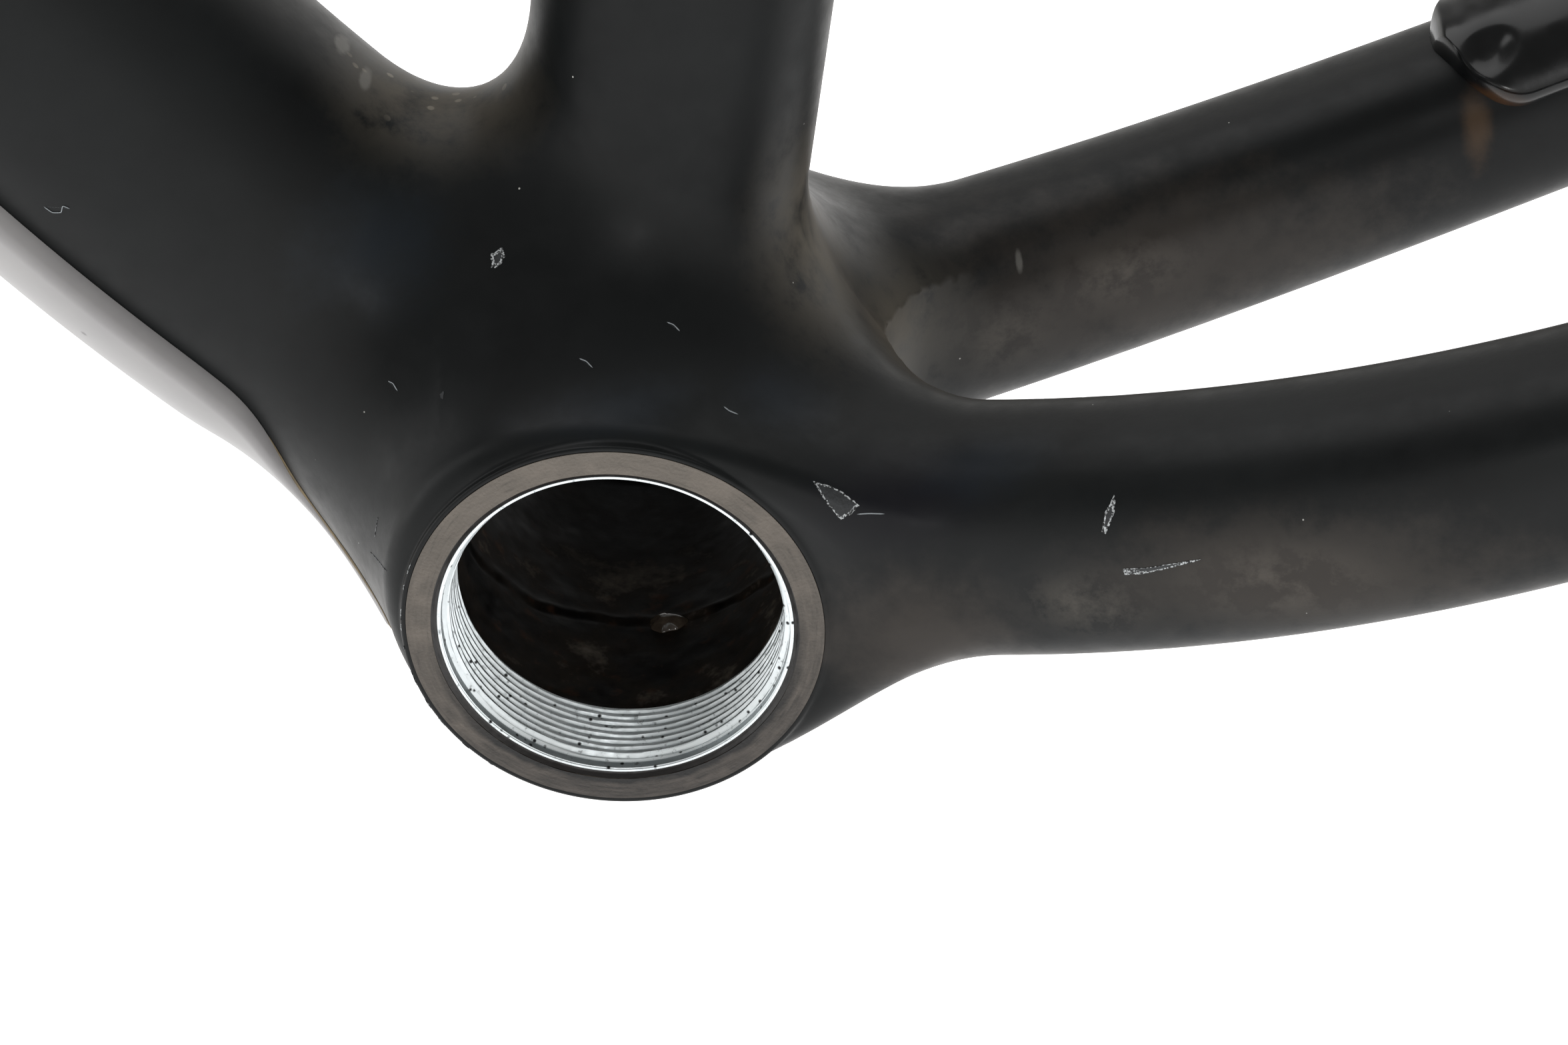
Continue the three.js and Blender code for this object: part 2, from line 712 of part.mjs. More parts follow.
const dome = spread(0, 90, 6).map((a) => [
  BEAD_RADIUS * Math.cos(radians(a)),
  BEAD_HEIGHT * Math.sin(radians(a)),
]);
const bead = new THREE.LatheGeometry(
  [[0, 0], ...dome.slice(0, -1), [0, BEAD_HEIGHT]].map(([r, h]) => new THREE.Vector2(r, h)),
  16,
);
bead.rotateX(Math.PI / 2);
bead.translate(0, BEAD_Y, FIT - Math.sqrt(SLEEVE_BORE ** 2 - BEAD_RADIUS ** 2));
bead.rotateY(-radians(BEAD_TURN));
addMesh("resin_bead", bead, RESIN);

const group = new THREE.Group();
group.add(...meshes);
export default group;
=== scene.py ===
import math

import bmesh
import bpy
import numpy as np
from mathutils import Matrix, Vector


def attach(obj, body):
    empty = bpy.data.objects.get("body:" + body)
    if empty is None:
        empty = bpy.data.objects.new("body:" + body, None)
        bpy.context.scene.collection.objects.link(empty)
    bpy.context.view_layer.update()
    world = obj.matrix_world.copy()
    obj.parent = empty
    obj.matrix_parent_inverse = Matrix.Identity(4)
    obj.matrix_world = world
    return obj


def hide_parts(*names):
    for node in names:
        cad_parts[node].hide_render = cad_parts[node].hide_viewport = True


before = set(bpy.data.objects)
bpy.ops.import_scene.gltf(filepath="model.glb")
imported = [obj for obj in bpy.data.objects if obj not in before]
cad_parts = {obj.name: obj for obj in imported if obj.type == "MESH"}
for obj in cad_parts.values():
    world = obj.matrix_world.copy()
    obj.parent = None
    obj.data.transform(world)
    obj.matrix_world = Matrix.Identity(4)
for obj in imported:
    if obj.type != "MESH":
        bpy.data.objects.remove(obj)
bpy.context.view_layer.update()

# ---------------------------------------------------------------- carbon sleeve
# The sleeve is a thick carbon tube, wound and cured on a mandrel. Its ends are faced with a cutter
# after the junction is moulded round it, so the cut plies show as a raw brown ring; its bore is
# left as it came off the mandrel, rough, with a wavy seam where two plies meet half way.

MM = 0.001
HALF_SHELL = 34.0
SLEEVE_BORE = 18.45
SLEEVE_RADIUS = 20.95
BORE_ROUGHNESS = 0.10
SEAM_AT = -6.0  # on the floor of the bore; it slants towards the left face up the sides
SEAM_SLANT = 5.5
SEAM_DEPTH = 0.13
SLEEVE_ROW = 0.4  # between rings of points along the bore
SLEEVE_STEPS = 288  # round the sleeve


def lumps(p, size, seed=0):
    """Smooth random heights between -1 and 1, on a lattice whose cells have one size."""
    q = np.asarray(p, float) / size
    cell = np.floor(q).astype(np.int64)
    t = q - cell
    t = t * t * (3 - 2 * t)
    total = 0.0
    for corner in range(8):
        offset = np.array([corner & 1, corner >> 1 & 1, corner >> 2])
        k = ((cell + offset) * np.array([73856093, 19349663, 83492791])).sum(-1) + seed * 7919
        k = (k ^ (k >> 13)) * 1274126177 & 0xFFFFFFFF
        height = (k ^ (k >> 16)) % 65536 / 32767.5 - 1
        total = total + height * np.where(offset, t, 1 - t).prod(-1)
    return total


def new_mesh(name, points, faces):
    """A mesh object from points in millimetres and four-sided faces, turned outwards."""
    p = np.asarray(points, float).reshape(-1, 3)
    faces = np.asarray(faces).reshape(-1, 4)
    a, b, c, d = (p[faces[:, k]] for k in range(4))
    volume = np.einsum("ij,ij->i", a, np.cross(b, c) + np.cross(c, d)).sum()
    if volume < 0:
        faces = faces[:, ::-1]
    mesh = bpy.data.meshes.new(name)
    mesh.from_pydata((p * MM).tolist(), [], faces.tolist())
    mesh.update()
    piece = bpy.data.objects.new(name, mesh)
    bpy.context.scene.collection.objects.link(piece)
    return piece


def wrapped_grid(rows, columns):
    """Faces of a grid that closes on itself both ways, row by row."""
    i, j = np.meshgrid(np.arange(rows), np.arange(columns), indexing="ij")
    up, on = (i + 1) % rows, (j + 1) % columns
    return np.stack([i * columns + j, i * columns + on, up * columns + on, up * columns + j], -1)


def turned_ring(name, outline, steps, worked):
    """A closed ring about the bore axis. worked(r, y, angle) gives the surface's real r and y."""
    r, y = np.array(outline, float).T
    angle = np.arange(steps) * 2 * math.pi / steps
    r, y, angle = np.broadcast_arrays(r[:, None], y[:, None], angle[None, :])
    r, y = worked(r, y, angle)
    points = np.stack([r * np.cos(angle), y, r * np.sin(angle)], -1)
    return new_mesh(name, points, wrapped_grid(*r.shape))


def smooth(piece, sharp_degrees=35):
    piece.data.shade_smooth()
    piece.data.set_sharp_from_angle(angle=math.radians(sharp_degrees))


def own(piece, *node_names, slot):
    """The piece rides on the one body and stands for CAD nodes, which are hidden; slot is not used."""
    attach(piece, "root")
    if node_names:
        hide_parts(*node_names)


def linear(hex_code):
    """An sRGB hex colour as linear RGBA."""
    parts = [int(hex_code[i : i + 2], 16) / 255 for i in (1, 3, 5)]
    return [c / 12.92 if c <= 0.04045 else ((c + 0.055) / 1.055) ** 2.4 for c in parts] + [1.0]


def put(material, kind, inputs, **settings):
    """Adds a node with its settings; an input is a number, a colour or another node's output."""
    tree = material.node_tree
    node = tree.nodes.new("ShaderNode" + kind)
    for key, value in settings.items():
        setattr(node, key, value)
    for key, value in inputs.items():
        if isinstance(value, bpy.types.NodeSocket):
            tree.links.new(value, node.inputs[key])
        else:
            node.inputs[key].default_value = value
    return node


def new_material(name):
    material = bpy.data.materials.new(name)
    material.use_nodes = True
    material.node_tree.nodes.clear()
    return material


def finish_with(material, **sockets):
    """The surface shader and its output. Sockets are written with _ for a space."""
    inputs = {key.replace("_", " "): value for key, value in sockets.items()}
    shader = put(material, "BsdfPrincipled", inputs)
    put(material, "OutputMaterial", {"Surface": shader.outputs["BSDF"]})


# Carbon laminate, faced with a cutter: brown-grey plies as streaks along the ring, with paler
# mottles where a bundle is cut across, and a scratchy, half-matt cut surface.
PLY = 0.25
faced_laminate = new_material("carbon_laminate_faced")
at = put(faced_laminate, "TexCoord", {}).outputs["Object"]
xyz = put(faced_laminate, "SeparateXYZ", {0: at}).outputs
turn = put(faced_laminate, "Math", {0: xyz["Z"], 1: xyz["X"]}, operation="ARCTAN2").outputs[0]
flat = put(faced_laminate, "CombineXYZ", {"X": xyz["X"], "Y": xyz["Z"]}).outputs[0]
radius = put(faced_laminate, "VectorMath", {0: flat}, operation="LENGTH").outputs["Value"]
arc = put(faced_laminate, "Math", {0: turn, 1: 0.0196}, operation="MULTIPLY").outputs[0]
lanes = put(faced_laminate, "CombineXYZ", {"X": radius, "Y": arc, "Z": xyz["Y"]}).outputs[0]
stretched = put(
    faced_laminate, "VectorMath", {0: lanes, 1: (1, 0.1, 1)}, operation="MULTIPLY"
).outputs[0]
streaks = put(
    faced_laminate, "TexNoise",
    {"Vector": stretched, "Scale": 1 / (2 * PLY * MM), "Detail": 8.0, "Roughness": 0.7},
).outputs["Fac"]
mottles = put(
    faced_laminate, "TexNoise", {"Vector": lanes, "Scale": 1 / (3.2 * MM), "Detail": 2.0}
).outputs["Fac"]
mottle = put(
    faced_laminate, "MapRange", {"Value": mottles, "From Min": 0.5, "From Max": 0.72, "To Max": 0.4}
).outputs[0]
plies = put(faced_laminate, "ValToRGB", {"Fac": streaks})
plies.color_ramp.elements[0].position = 0.36
plies.color_ramp.elements[0].color = linear("#221f1d")
plies.color_ramp.elements[1].position = 0.66
plies.color_ramp.elements[1].color = linear("#4a443f")
tone = put(
    faced_laminate, "Mix", {0: mottle, 6: plies.outputs[0], 7: linear("#6e655d")}, data_type="RGBA"
).outputs[2]
# The ring grows paler towards its top: painted light falling from above, not wear.
painted_top_light = put(
    faced_laminate, "MapRange",
    {"Value": xyz["Z"], "From Min": -21 * MM, "From Max": 21 * MM, "To Max": 0.42},
).outputs[0]
tone = put(
    faced_laminate, "Mix", {0: painted_top_light, 6: tone, 7: linear("#8f867b")}, data_type="RGBA"
).outputs[2]
cutter = put(
    faced_laminate, "TexNoise", {"Vector": lanes, "Scale": 1 / (0.35 * MM), "Detail": 3.0}
).outputs["Fac"]

# Scored lines along the plies, and the black smear that was wiped out of the glue line low down.
scores = put(
    faced_laminate, "MapRange", {"Value": streaks, "From Min": 0.36, "From Max": 0.42, "To Min": 0.8}
).outputs[0]
darker = put(faced_laminate, "Math", {0: 1.0, 1: scores}, operation="SUBTRACT").outputs[0]
tone = put(
    faced_laminate, "Mix", {0: darker, 6: tone, 7: linear("#100e0d")}, data_type="RGBA"
).outputs[2]
uneven = put(faced_laminate, "Math", {0: mottles, 1: 1.6 * MM}, operation="MULTIPLY").outputs[0]
inwards = put(faced_laminate, "Math", {0: radius, 1: uneven}, operation="SUBTRACT").outputs[0]
near_glue = put(
    faced_laminate, "MapRange",
    {"Value": inwards, "From Min": 18.6 * MM, "From Max": 18.0 * MM},
).outputs[0]
low_down = put(
    faced_laminate, "MapRange", {"Value": xyz["Z"], "From Min": 2 * MM, "From Max": -12 * MM}
).outputs[0]
smear = put(faced_laminate, "Math", {0: near_glue, 1: low_down}, operation="MULTIPLY").outputs[0]
tone = put(
    faced_laminate, "Mix", {0: smear, 6: tone, 7: linear("#0c0b0b")}, data_type="RGBA"
).outputs[2]
relief = put(
    faced_laminate, "Bump", {"Strength": 0.9, "Distance": 0.12 * MM, "Height": cutter}
).outputs[0]
finish_with(
    faced_laminate, Base_Color=tone, Roughness=0.58, Normal=relief, IOR=1.55, Specular_IOR_Level=0.4
)

# The same laminate as moulded, in the bore: dark resin with brown, rusty and pale dusty mottles, and
# painted shade that turns it near black deeper in.
bore_laminate = new_material("carbon_laminate_as_moulded")
at = put(bore_laminate, "TexCoord", {}).outputs["Object"]
clouds = put(
    bore_laminate, "TexNoise", {"Vector": at, "Scale": 1 / (9 * MM), "Detail": 5.0, "Roughness": 0.65}
).outputs["Fac"]
stains = put(bore_laminate, "ValToRGB", {"Fac": clouds})
stains.color_ramp.elements[0].position = 0.4
stains.color_ramp.elements[0].color = linear("#0d0b0a")
stains.color_ramp.elements[1].position = 0.68
stains.color_ramp.elements[1].color = linear("#6a6259")
middle = stains.color_ramp.elements.new(0.56)
middle.color = linear("#2b2520")
rust = put(
    bore_laminate, "TexNoise", {"Vector": at, "Scale": 1 / (2.2 * MM), "Detail": 4.0}
).outputs["Fac"]
rusty = put(
    bore_laminate, "MapRange", {"Value": rust, "From Min": 0.6, "From Max": 0.75, "To Max": 0.5}
).outputs[0]
tone = put(
    bore_laminate, "Mix", {0: rusty, 6: stains.outputs[0], 7: linear("#4a3020")}, data_type="RGBA"
).outputs[2]
# Near black from the seam deeper into the bore: painted shade.
depth = put(bore_laminate, "SeparateXYZ", {0: at}).outputs["Y"]
painted_depth_shade = put(
    bore_laminate, "MapRange",
    {"Value": depth, "From Min": -6 * MM, "From Max": 12 * MM, "To Max": 0.93},
    interpolation_type="SMOOTHSTEP",
).outputs[0]
tone = put(
    bore_laminate, "Mix", {0: painted_depth_shade, 6: tone, 7: linear("#030303")}, data_type="RGBA"
).outputs[2]
wet = put(
    bore_laminate, "MapRange",
    {"Value": clouds, "From Min": 0.4, "From Max": 0.7, "To Min": 0.5, "To Max": 0.8},
).outputs[0]
relief = put(
    bore_laminate, "Bump", {"Strength": 0.6, "Distance": 0.15 * MM, "Height": rust}
).outputs[0]
finish_with(
    bore_laminate, Base_Color=tone, Roughness=wet, Normal=relief, IOR=1.4, Specular_IOR_Level=0.06
)


def as_wound(r, y, angle):
    """Roughness of the bore, its seam, and the faint waves of the faced ends."""
    p = np.stack([r * np.cos(angle), y, r * np.sin(angle)], -1)
    inside = np.clip((SLEEVE_BORE + 0.01 - r) / 0.01, 0, 1) * np.clip((33.2 - np.abs(y)) / 2, 0, 1)
    rough = lumps(p, 3.4) + 0.6 * lumps(p, 1.5, 2) + 0.3 * lumps(p, 0.8, 3)
    seam = y - SEAM_AT + SEAM_SLANT * (1 + np.sin(angle)) - 0.9 * lumps(p, 3.2, 5)
    groove = SEAM_DEPTH * np.exp(-((seam / 0.4) ** 2)) - 0.18 * np.exp(-(((seam - 1.1) / 0.6) ** 2))
    groove = groove * (1 + 0.9 * lumps(p, 2.5, 9))
    end = np.sign(y) * (np.abs(y) > HALF_SHELL - 0.01)
    return r + inside * (BORE_ROUGHNESS * rough + groove), y + end * (0.03 * lumps(p, 0.9, 4) - 0.03)


length = np.arange(-33.6, 33.7, SLEEVE_ROW)
face = np.linspace(SLEEVE_BORE, SLEEVE_RADIUS, 11)
outline = [(SLEEVE_BORE, y) for y in length[::-1]]
outline += [(r, -HALF_SHELL) for r in face]
outline += [(SLEEVE_RADIUS, y) for y in np.arange(-30, 31, 10)]
outline += [(r, HALF_SHELL) for r in face[::-1]]
sleeve = turned_ring("carbon_sleeve", outline, SLEEVE_STEPS, as_wound)
smooth(sleeve, 50)
sleeve.data.materials.append(faced_laminate)
sleeve.data.materials.append(bore_laminate)
for polygon in sleeve.data.polygons:
    x, y, z = polygon.center
    polygon.material_index = int(math.hypot(x, z) < (SLEEVE_BORE + 0.6) * MM and abs(y) < 33.9 * MM)
own(sleeve, "bb_sleeve", slot="raw_carbon")

# ---------------------------------------------------------------- threaded inserts
# Each end has an aluminium ring with the cup's thread cut in it, 24 to the inch, right-hand on
# the left and left-hand on the chain side. The first turn is bored away as a lead-in.

THREAD_PITCH = 25.4 / 24
THREAD_MINOR = 16.85
THREAD_MAJOR = 17.4
INSERT_RADIUS = 17.86
INSERT_DEPTH = 0.5
INSERT_LENGTH = 9.6
LEAD_IN = 1.1
MOUTH_ROOM = 0.12  # by which the mouth is wider than the thread
MOUTH_CHAMFER = 0.1
CHAMFER_DEPTH = 0.12
INSERT_STEPS = 256
INSERT_ROWS = 161

# Machined aluminium, bare: bright and slightly blue, with faint turning lines and dark specks of
# grease and swarf left in the grooves.
machined = new_material("aluminium_machined")
at = put(machined, "TexCoord", {}).outputs["Object"]
dirt = put(
    machined, "TexNoise", {"Vector": at, "Scale": 1 / (0.9 * MM), "Detail": 4.0, "Roughness": 0.7}
).outputs["Fac"]
dirty = put(
    machined, "MapRange", {"Value": dirt, "From Min": 0.6, "From Max": 0.74, "To Max": 0.75}
).outputs[0]
specks = put(
    machined, "TexVoronoi", {"Vector": at, "Scale": 1 / (1.3 * MM)}, feature="F1"
).outputs["Distance"]
speck = put(
    machined, "MapRange", {"Value": specks, "From Min": 0.2, "From Max": 0.1}
).outputs[0]
soiled = put(machined, "Math", {0: dirty, 1: speck}, operation="MAXIMUM").outputs[0]
tone = put(
    machined, "Mix", {0: soiled, 6: linear("#e2e8ea"), 7: linear("#2c2d2e")}, data_type="RGBA"
).outputs[2]
shine = put(
    machined, "MapRange",
    {"Value": dirt, "From Min": 0.3, "From Max": 0.7, "To Min": 0.34, "To Max": 0.55},
).outputs[0]
lines = put(machined, "SeparateXYZ", {0: at}).outputs["Y"]
turns = put(machined, "Math", {0: lines, 1: 1 / (0.07 * MM)}, operation="MULTIPLY").outputs[0]
turning = put(
    machined, "TexNoise", {"W": turns, "Scale": 1.0, "Detail": 1.0}, noise_dimensions="1D"
).outputs["Fac"]
relief = put(machined, "Bump", {"Strength": 0.25, "Distance": 0.02 * MM, "Height": turning}).outputs[0]
finish_with(machined, Base_Color=tone, Roughness=shine, Metallic=1.0, Normal=relief)


def cut_thread(end, hand):
    """Turns the blank's bore into the thread and its lead-in."""
    front = end * (HALF_SHELL - INSERT_DEPTH)

    def worked(r, y, angle):
        depth = end * (front - y)
        phase = y / THREAD_PITCH + hand * angle / (2 * math.pi)
        groove = np.clip(1.75 * (1 - 2 * np.abs(phase - np.floor(phase) - 0.5)) - 0.5, 0, 1)
        thread = THREAD_MINOR + (THREAD_MAJOR - THREAD_MINOR) * groove
        chamfer = MOUTH_CHAMFER * (depth < CHAMFER_DEPTH)
        lead = THREAD_MAJOR + MOUTH_ROOM - np.maximum(depth - LEAD_IN, 0) * 1.2 + chamfer
        bore = np.maximum(thread, lead)
        return np.where(r < THREAD_MINOR + 0.01, bore, r), y

    return worked


for side_name, end, hand in (("left", -1, 1), ("right", 1, -1)):
    front = end * (HALF_SHELL - INSERT_DEPTH)
    back = front - end * INSERT_LENGTH
    inner = np.linspace(front, back, INSERT_ROWS)
    outline = [(THREAD_MINOR, y) for y in inner]
    outline += [(INSERT_RADIUS, y) for y in np.linspace(back, front, 5)]
    insert = turned_ring(
        "threaded_insert_" + side_name, outline, INSERT_STEPS, cut_thread(end, hand)
    )
    smooth(insert, 45)
    insert.data.materials.append(machined)
    own(insert, "threaded_insert_" + side_name, slot="insert_aluminium")

# ---------------------------------------------------------------- epoxy bonds
# The inserts are glued in with black epoxy. It was wiped back with a finger while wet, so it ends
# in a dark, slightly lumpy cone between the insert and the ring.

BOND_DEPTH = 0.6
BOND_STEPS = 288

# Cured structural epoxy, wiped: black, half glossy, with small voids.
epoxy = new_material("epoxy_wiped")
at = put(epoxy, "TexCoord", {}).outputs["Object"]
voids = put(epoxy, "TexNoise", {"Vector": at, "Scale": 1 / (0.7 * MM), "Detail": 4.0}).outputs["Fac"]
tone = put(
    epoxy, "Mix", {0: voids, 6: linear("#0b0a0a"), 7: linear("#262120")}, data_type="RGBA"
).outputs[2]
relief = put(epoxy, "Bump", {"Strength": 0.6, "Distance": 0.1 * MM, "Height": voids}).outputs[0]
finish_with(epoxy, Base_Color=tone, Roughness=0.38, Normal=relief, IOR=1.55)


def as_wiped(r, y, angle):
    p = np.stack([r * np.cos(angle), y, r * np.sin(angle)], -1)
    front = np.abs(y) > HALF_SHELL - BOND_DEPTH - 0.1
    return r, y - np.sign(y) * front * (0.06 + 0.06 * lumps(p, 1.1, 6))


for side_name, end in (("left", -1), ("right", 1)):
    outline = [
        (INSERT_RADIUS - 0.02, end * (HALF_SHELL - BOND_DEPTH)),
        (INSERT_RADIUS + 0.16, end * (HALF_SHELL - BOND_DEPTH)),
        (INSERT_RADIUS + 0.36, end * (HALF_SHELL - 0.42)),
        (SLEEVE_BORE - 0.06, end * (HALF_SHELL - 0.14)),
        (SLEEVE_BORE + 0.04, end * (HALF_SHELL - 0.05)),
        (SLEEVE_BORE + 0.04, end * (HALF_SHELL - 5)),
        (SLEEVE_BORE + 0.04, end * (HALF_SHELL - INSERT_LENGTH - 0.5)),
        (INSERT_RADIUS - 0.02, end * (HALF_SHELL - INSERT_LENGTH - 0.5)),
        (INSERT_RADIUS - 0.02, end * (HALF_SHELL - 5)),
    ]
    bond = turned_ring("epoxy_bond_" + side_name, outline, BOND_STEPS, as_wiped)
    smooth(bond, 60)
    bond.data.materials.append(epoxy)
    own(bond, "insert_bond_" + side_name, slot="epoxy")

# ---------------------------------------------------------------- moulded junction
# The junction is carbon laminate moulded round the sleeve: four tube roots that flow into the
# shell. It is filled, rubbed down and sprayed with a thin matt clear coat that ends at the ring.

SEAT_RADIUS = 20.97
SHELL_RADIUS = 21.52
RIM_ROUND = 0.35
RIM_STEP = 0.3  # how far the ring stands out of the skin beside it
FACE_SLOPE = 0.3  # the skin stays under a shallow cone round the faced ring
FACE_FILLET = 3.0
WEB = 12.6  # fillet between the chainstays
NODE_WALL = 1.6
TUBE_WALL = 2.0

# Sections are superellipses, `height` in the frame's plane and `width` across it. lift and splay
# move a section's centre at a distance s from the shell's middle.
DOWN_TUBE = dict(
    angle=125.9, height=39.2, width=39.3, square=2.2, taper=0.0, fillet=22.5, joint=60, end=100,
    lift=lambda s: 6.7 - 7.3 * (s / 60 - 1) ** 2,
    splay=lambda s: 0 * s,
)
SEAT_TUBE = dict(
    angle=74, height=30, width=30, square=2.0, taper=0.0, fillet=17.0, joint=56, end=76,
    lift=lambda s: 0.9 + 0 * s,
    splay=lambda s: 0 * s,
)
CHAINSTAY = dict(
    angle=-5.9, height=24.8, width=24, square=2.7, taper=0.021, fillet=17.6, joint=54, end=124,
    lift=lambda s: 2.4 + 22.5 * (s / 100) ** 2 - 3.2 * (s / 100) ** 3,
    splay=lambda s: 11.2 + 43.7 * (s / 100) - 18.25 * (s / 100) ** 2,
)


def along_and_across(tube, p):
    """Distance along a tube's axis and, in the frame's plane, from its centre line."""
    c = math.cos(math.radians(tube["angle"]))
    s = math.sin(math.radians(tube["angle"]))
    along = p[..., 0] * c + p[..., 2] * s
    return along, p[..., 2] * c - p[..., 0] * s - tube["lift"](along)


def tube_field(tube, p, side=1, end=1e3):
    """Distance to a tube's surface, negative inside."""
    along, across = along_and_across(tube, p)
    sideways = side * p[..., 1] - tube["splay"](along)
    a = np.maximum(tube["height"] - tube["taper"] * along, 5) / 2
    b = np.maximum(tube["width"] - tube["taper"] * along, 5) / 2
    n = tube["square"]
    u = np.abs(across) / a
    v = np.abs(sideways) / b
    k = (u**n + v**n + 1e-9) ** (1 / n)
    slope = k ** (1 - n) * np.hypot(u ** (n - 1) / a, v ** (n - 1) / b) + 1e-6
    return np.maximum(np.maximum((k - 1) / slope, -along), along - end)


def fillet_join(a, b, radius):
    u = np.maximum(radius - a, 0)
    v = np.maximum(radius - b, 0)
    return np.maximum(radius, np.minimum(a, b)) - np.hypot(u, v)


def skin_field(p, past_joint=1e3):
    """Distance to the painted skin, with each tube that much longer than its joint."""
    down, seat, left, right = (
        tube_field(tube, p, side, tube["joint"] + past_joint)
        for tube, side in ((DOWN_TUBE, 1), (SEAT_TUBE, 1), (CHAINSTAY, -1), (CHAINSTAY, 1))
    )
    r = np.hypot(p[..., 0], p[..., 2])
    dr = r - (SHELL_RADIUS - RIM_ROUND)
    dy = np.abs(p[..., 1]) - (HALF_SHELL - RIM_ROUND)
    shell = np.minimum(np.maximum(dr, dy), 0) - RIM_ROUND
    shell = shell + np.hypot(np.maximum(dr, 0), np.maximum(dy, 0))
    d = fillet_join(shell, down, DOWN_TUBE["fillet"])
    d = fillet_join(d, seat, SEAT_TUBE["fillet"])
    d = fillet_join(d, fillet_join(left, right, WEB), CHAINSTAY["fillet"])
    rise = FACE_SLOPE * (r - SHELL_RADIUS) - RIM_STEP
    cone = (np.abs(p[..., 1]) - HALF_SHELL - rise) / math.hypot(1, FACE_SLOPE)
    return fillet_join(shell, -fillet_join(-d, -cone, FACE_FILLET), RIM_STEP)


def junction_field(p):
    """The junction as a wall: its skin, less the sleeve's seat and the hollow in each tube."""
    r = np.hypot(p[..., 0], p[..., 2])
    hollow = np.minimum(tube_field(DOWN_TUBE, p), tube_field(SEAT_TUBE, p))
    hollow = np.minimum(hollow, tube_field(CHAINSTAY, p, 1))
    hollow = np.minimum(hollow, tube_field(CHAINSTAY, p, -1))
    hollow = np.maximum(hollow + TUBE_WALL, SEAT_RADIUS + NODE_WALL - r)
    return np.maximum(np.maximum(skin_field(p, past_joint=5), -hollow), SEAT_RADIUS - r)


def slope_of(field, p, step=0.02):
    columns = []
    for axis in range(3):
        shift = np.zeros(3)
        shift[axis] = step
        columns.append((field(p + shift) - field(p - shift)) / (2 * step))
    return np.stack(columns, -1)


def trace(field, radii, turns, widths):
    """A closed surface where a field is zero, traced on a grid of rings about the bore axis.

    Each cell that the surface crosses gets one point, moved onto the surface, and each crossed
    edge of the grid gets one four-sided face round it.
    """
    angles = np.arange(turns) * 2 * math.pi / turns
    r, a, w = np.meshgrid(radii, angles, widths, indexing="ij")
    values = field(np.stack([r * np.cos(a), w, r * np.sin(a)], -1))
    values[0], values[-1], values[:, :, 0], values[:, :, -1] = 1, 1, 1, 1
    wrapped = np.concatenate([values, values[:, :1]], 1)
    inside = wrapped < 0
    corners = [
        inside[i : inside.shape[0] - 1 + i, j : j + turns, k : inside.shape[2] - 1 + k]
        for i in (0, 1) for j in (0, 1) for k in (0, 1)
    ]
    count = sum(c.astype(int) for c in corners)
    cells = np.argwhere((count > 0) & (count < 8))
    ids = np.full(count.shape, -1)
    ids[tuple(cells.T)] = np.arange(len(cells))

    total = np.zeros((len(cells), 3))
    crossings = np.zeros(len(cells))
    for axis in range(3):
        u, v = (axis + 1) % 3, (axis + 2) % 3
        for du, dv in ((0, 0), (1, 0), (0, 1), (1, 1)):
            start = cells.copy()
            start[:, u] += du
            start[:, v] += dv
            stop = start.copy()
            stop[:, axis] += 1
            f0, f1 = wrapped[tuple(start.T)], wrapped[tuple(stop.T)]
            crossed = (f0 < 0) != (f1 < 0)
            part = start + 0.0
            part[:, axis] += f0 / np.where(crossed, f0 - f1, 1)
            total += np.where(crossed[:, None], part, 0)
            crossings += crossed
    place = total / crossings[:, None]
    r = np.interp(place[:, 0], np.arange(len(radii)), radii)
    a = place[:, 1] * 2 * math.pi / turns
    w = np.interp(place[:, 2], np.arange(len(widths)), widths)
    points = np.stack([r * np.cos(a), w, r * np.sin(a)], -1)
    for _ in range(5):
        slope = slope_of(field, points)
        size = np.maximum((slope**2).sum(-1), 0.3)
        step = field(points)[:, None] * slope / size[:, None]
        points = points - np.clip(step, -0.6, 0.6)

    faces = []
    for axis in range(3):
        u, v = (axis + 1) % 3, (axis + 2) % 3
        low = values < 0
        high = np.roll(values, -1, axis) < 0
        edges = np.argwhere(low != high)
        if axis != 1:
            edges = edges[edges[:, axis] < values.shape[axis] - 1]
        for other in (u, v):
            if other != 1:
                last = values.shape[other] - 1
                edges = edges[(edges[:, other] > 0) & (edges[:, other] < last)]
        quad = []
        for du, dv in ((0, 0), (1, 0), (1, 1), (0, 1)):
            cell = edges.copy()
            cell[:, u] -= du
            cell[:, v] -= dv
            cell[:, 1] %= turns
            quad.append(ids[tuple(cell.T)])
        quad = np.stack(quad, -1)
        outward = values[tuple(edges.T)] > 0
        quad[outward] = quad[outward][:, ::-1]
        faces.append(quad)
    return points, np.concatenate(faces)


def set_normals(piece, field):
    """Takes the shading of curved faces from a field, and leaves flat cuts and edges as they are."""
    mesh = piece.data
    smooth(piece, 30)
    p = np.empty(len(mesh.vertices) * 3)
    mesh.vertices.foreach_get("co", p)
    normals = slope_of(field, p.reshape(-1, 3) / MM)
    normals /= np.linalg.norm(normals, axis=1)[:, None] + 1e-12
    vertex = np.empty(len(mesh.loops), int)
    mesh.loops.foreach_get("vertex_index", vertex)
    sizes = np.array([f.loop_total for f in mesh.polygons])
    flat = np.empty(len(mesh.polygons) * 3)
    mesh.polygons.foreach_get("normal", flat)
    flat = np.repeat(flat.reshape(-1, 3), sizes, axis=0)
    corner = np.empty(len(mesh.loops) * 3)
    mesh.corner_normals.foreach_get("vector", corner)
    corner = corner.reshape(-1, 3)
    curved = (normals[vertex] * flat).sum(1) > 0.8
    corner[curved] = normals[vertex][curved]
    mesh.normals_split_custom_set(corner.tolist())


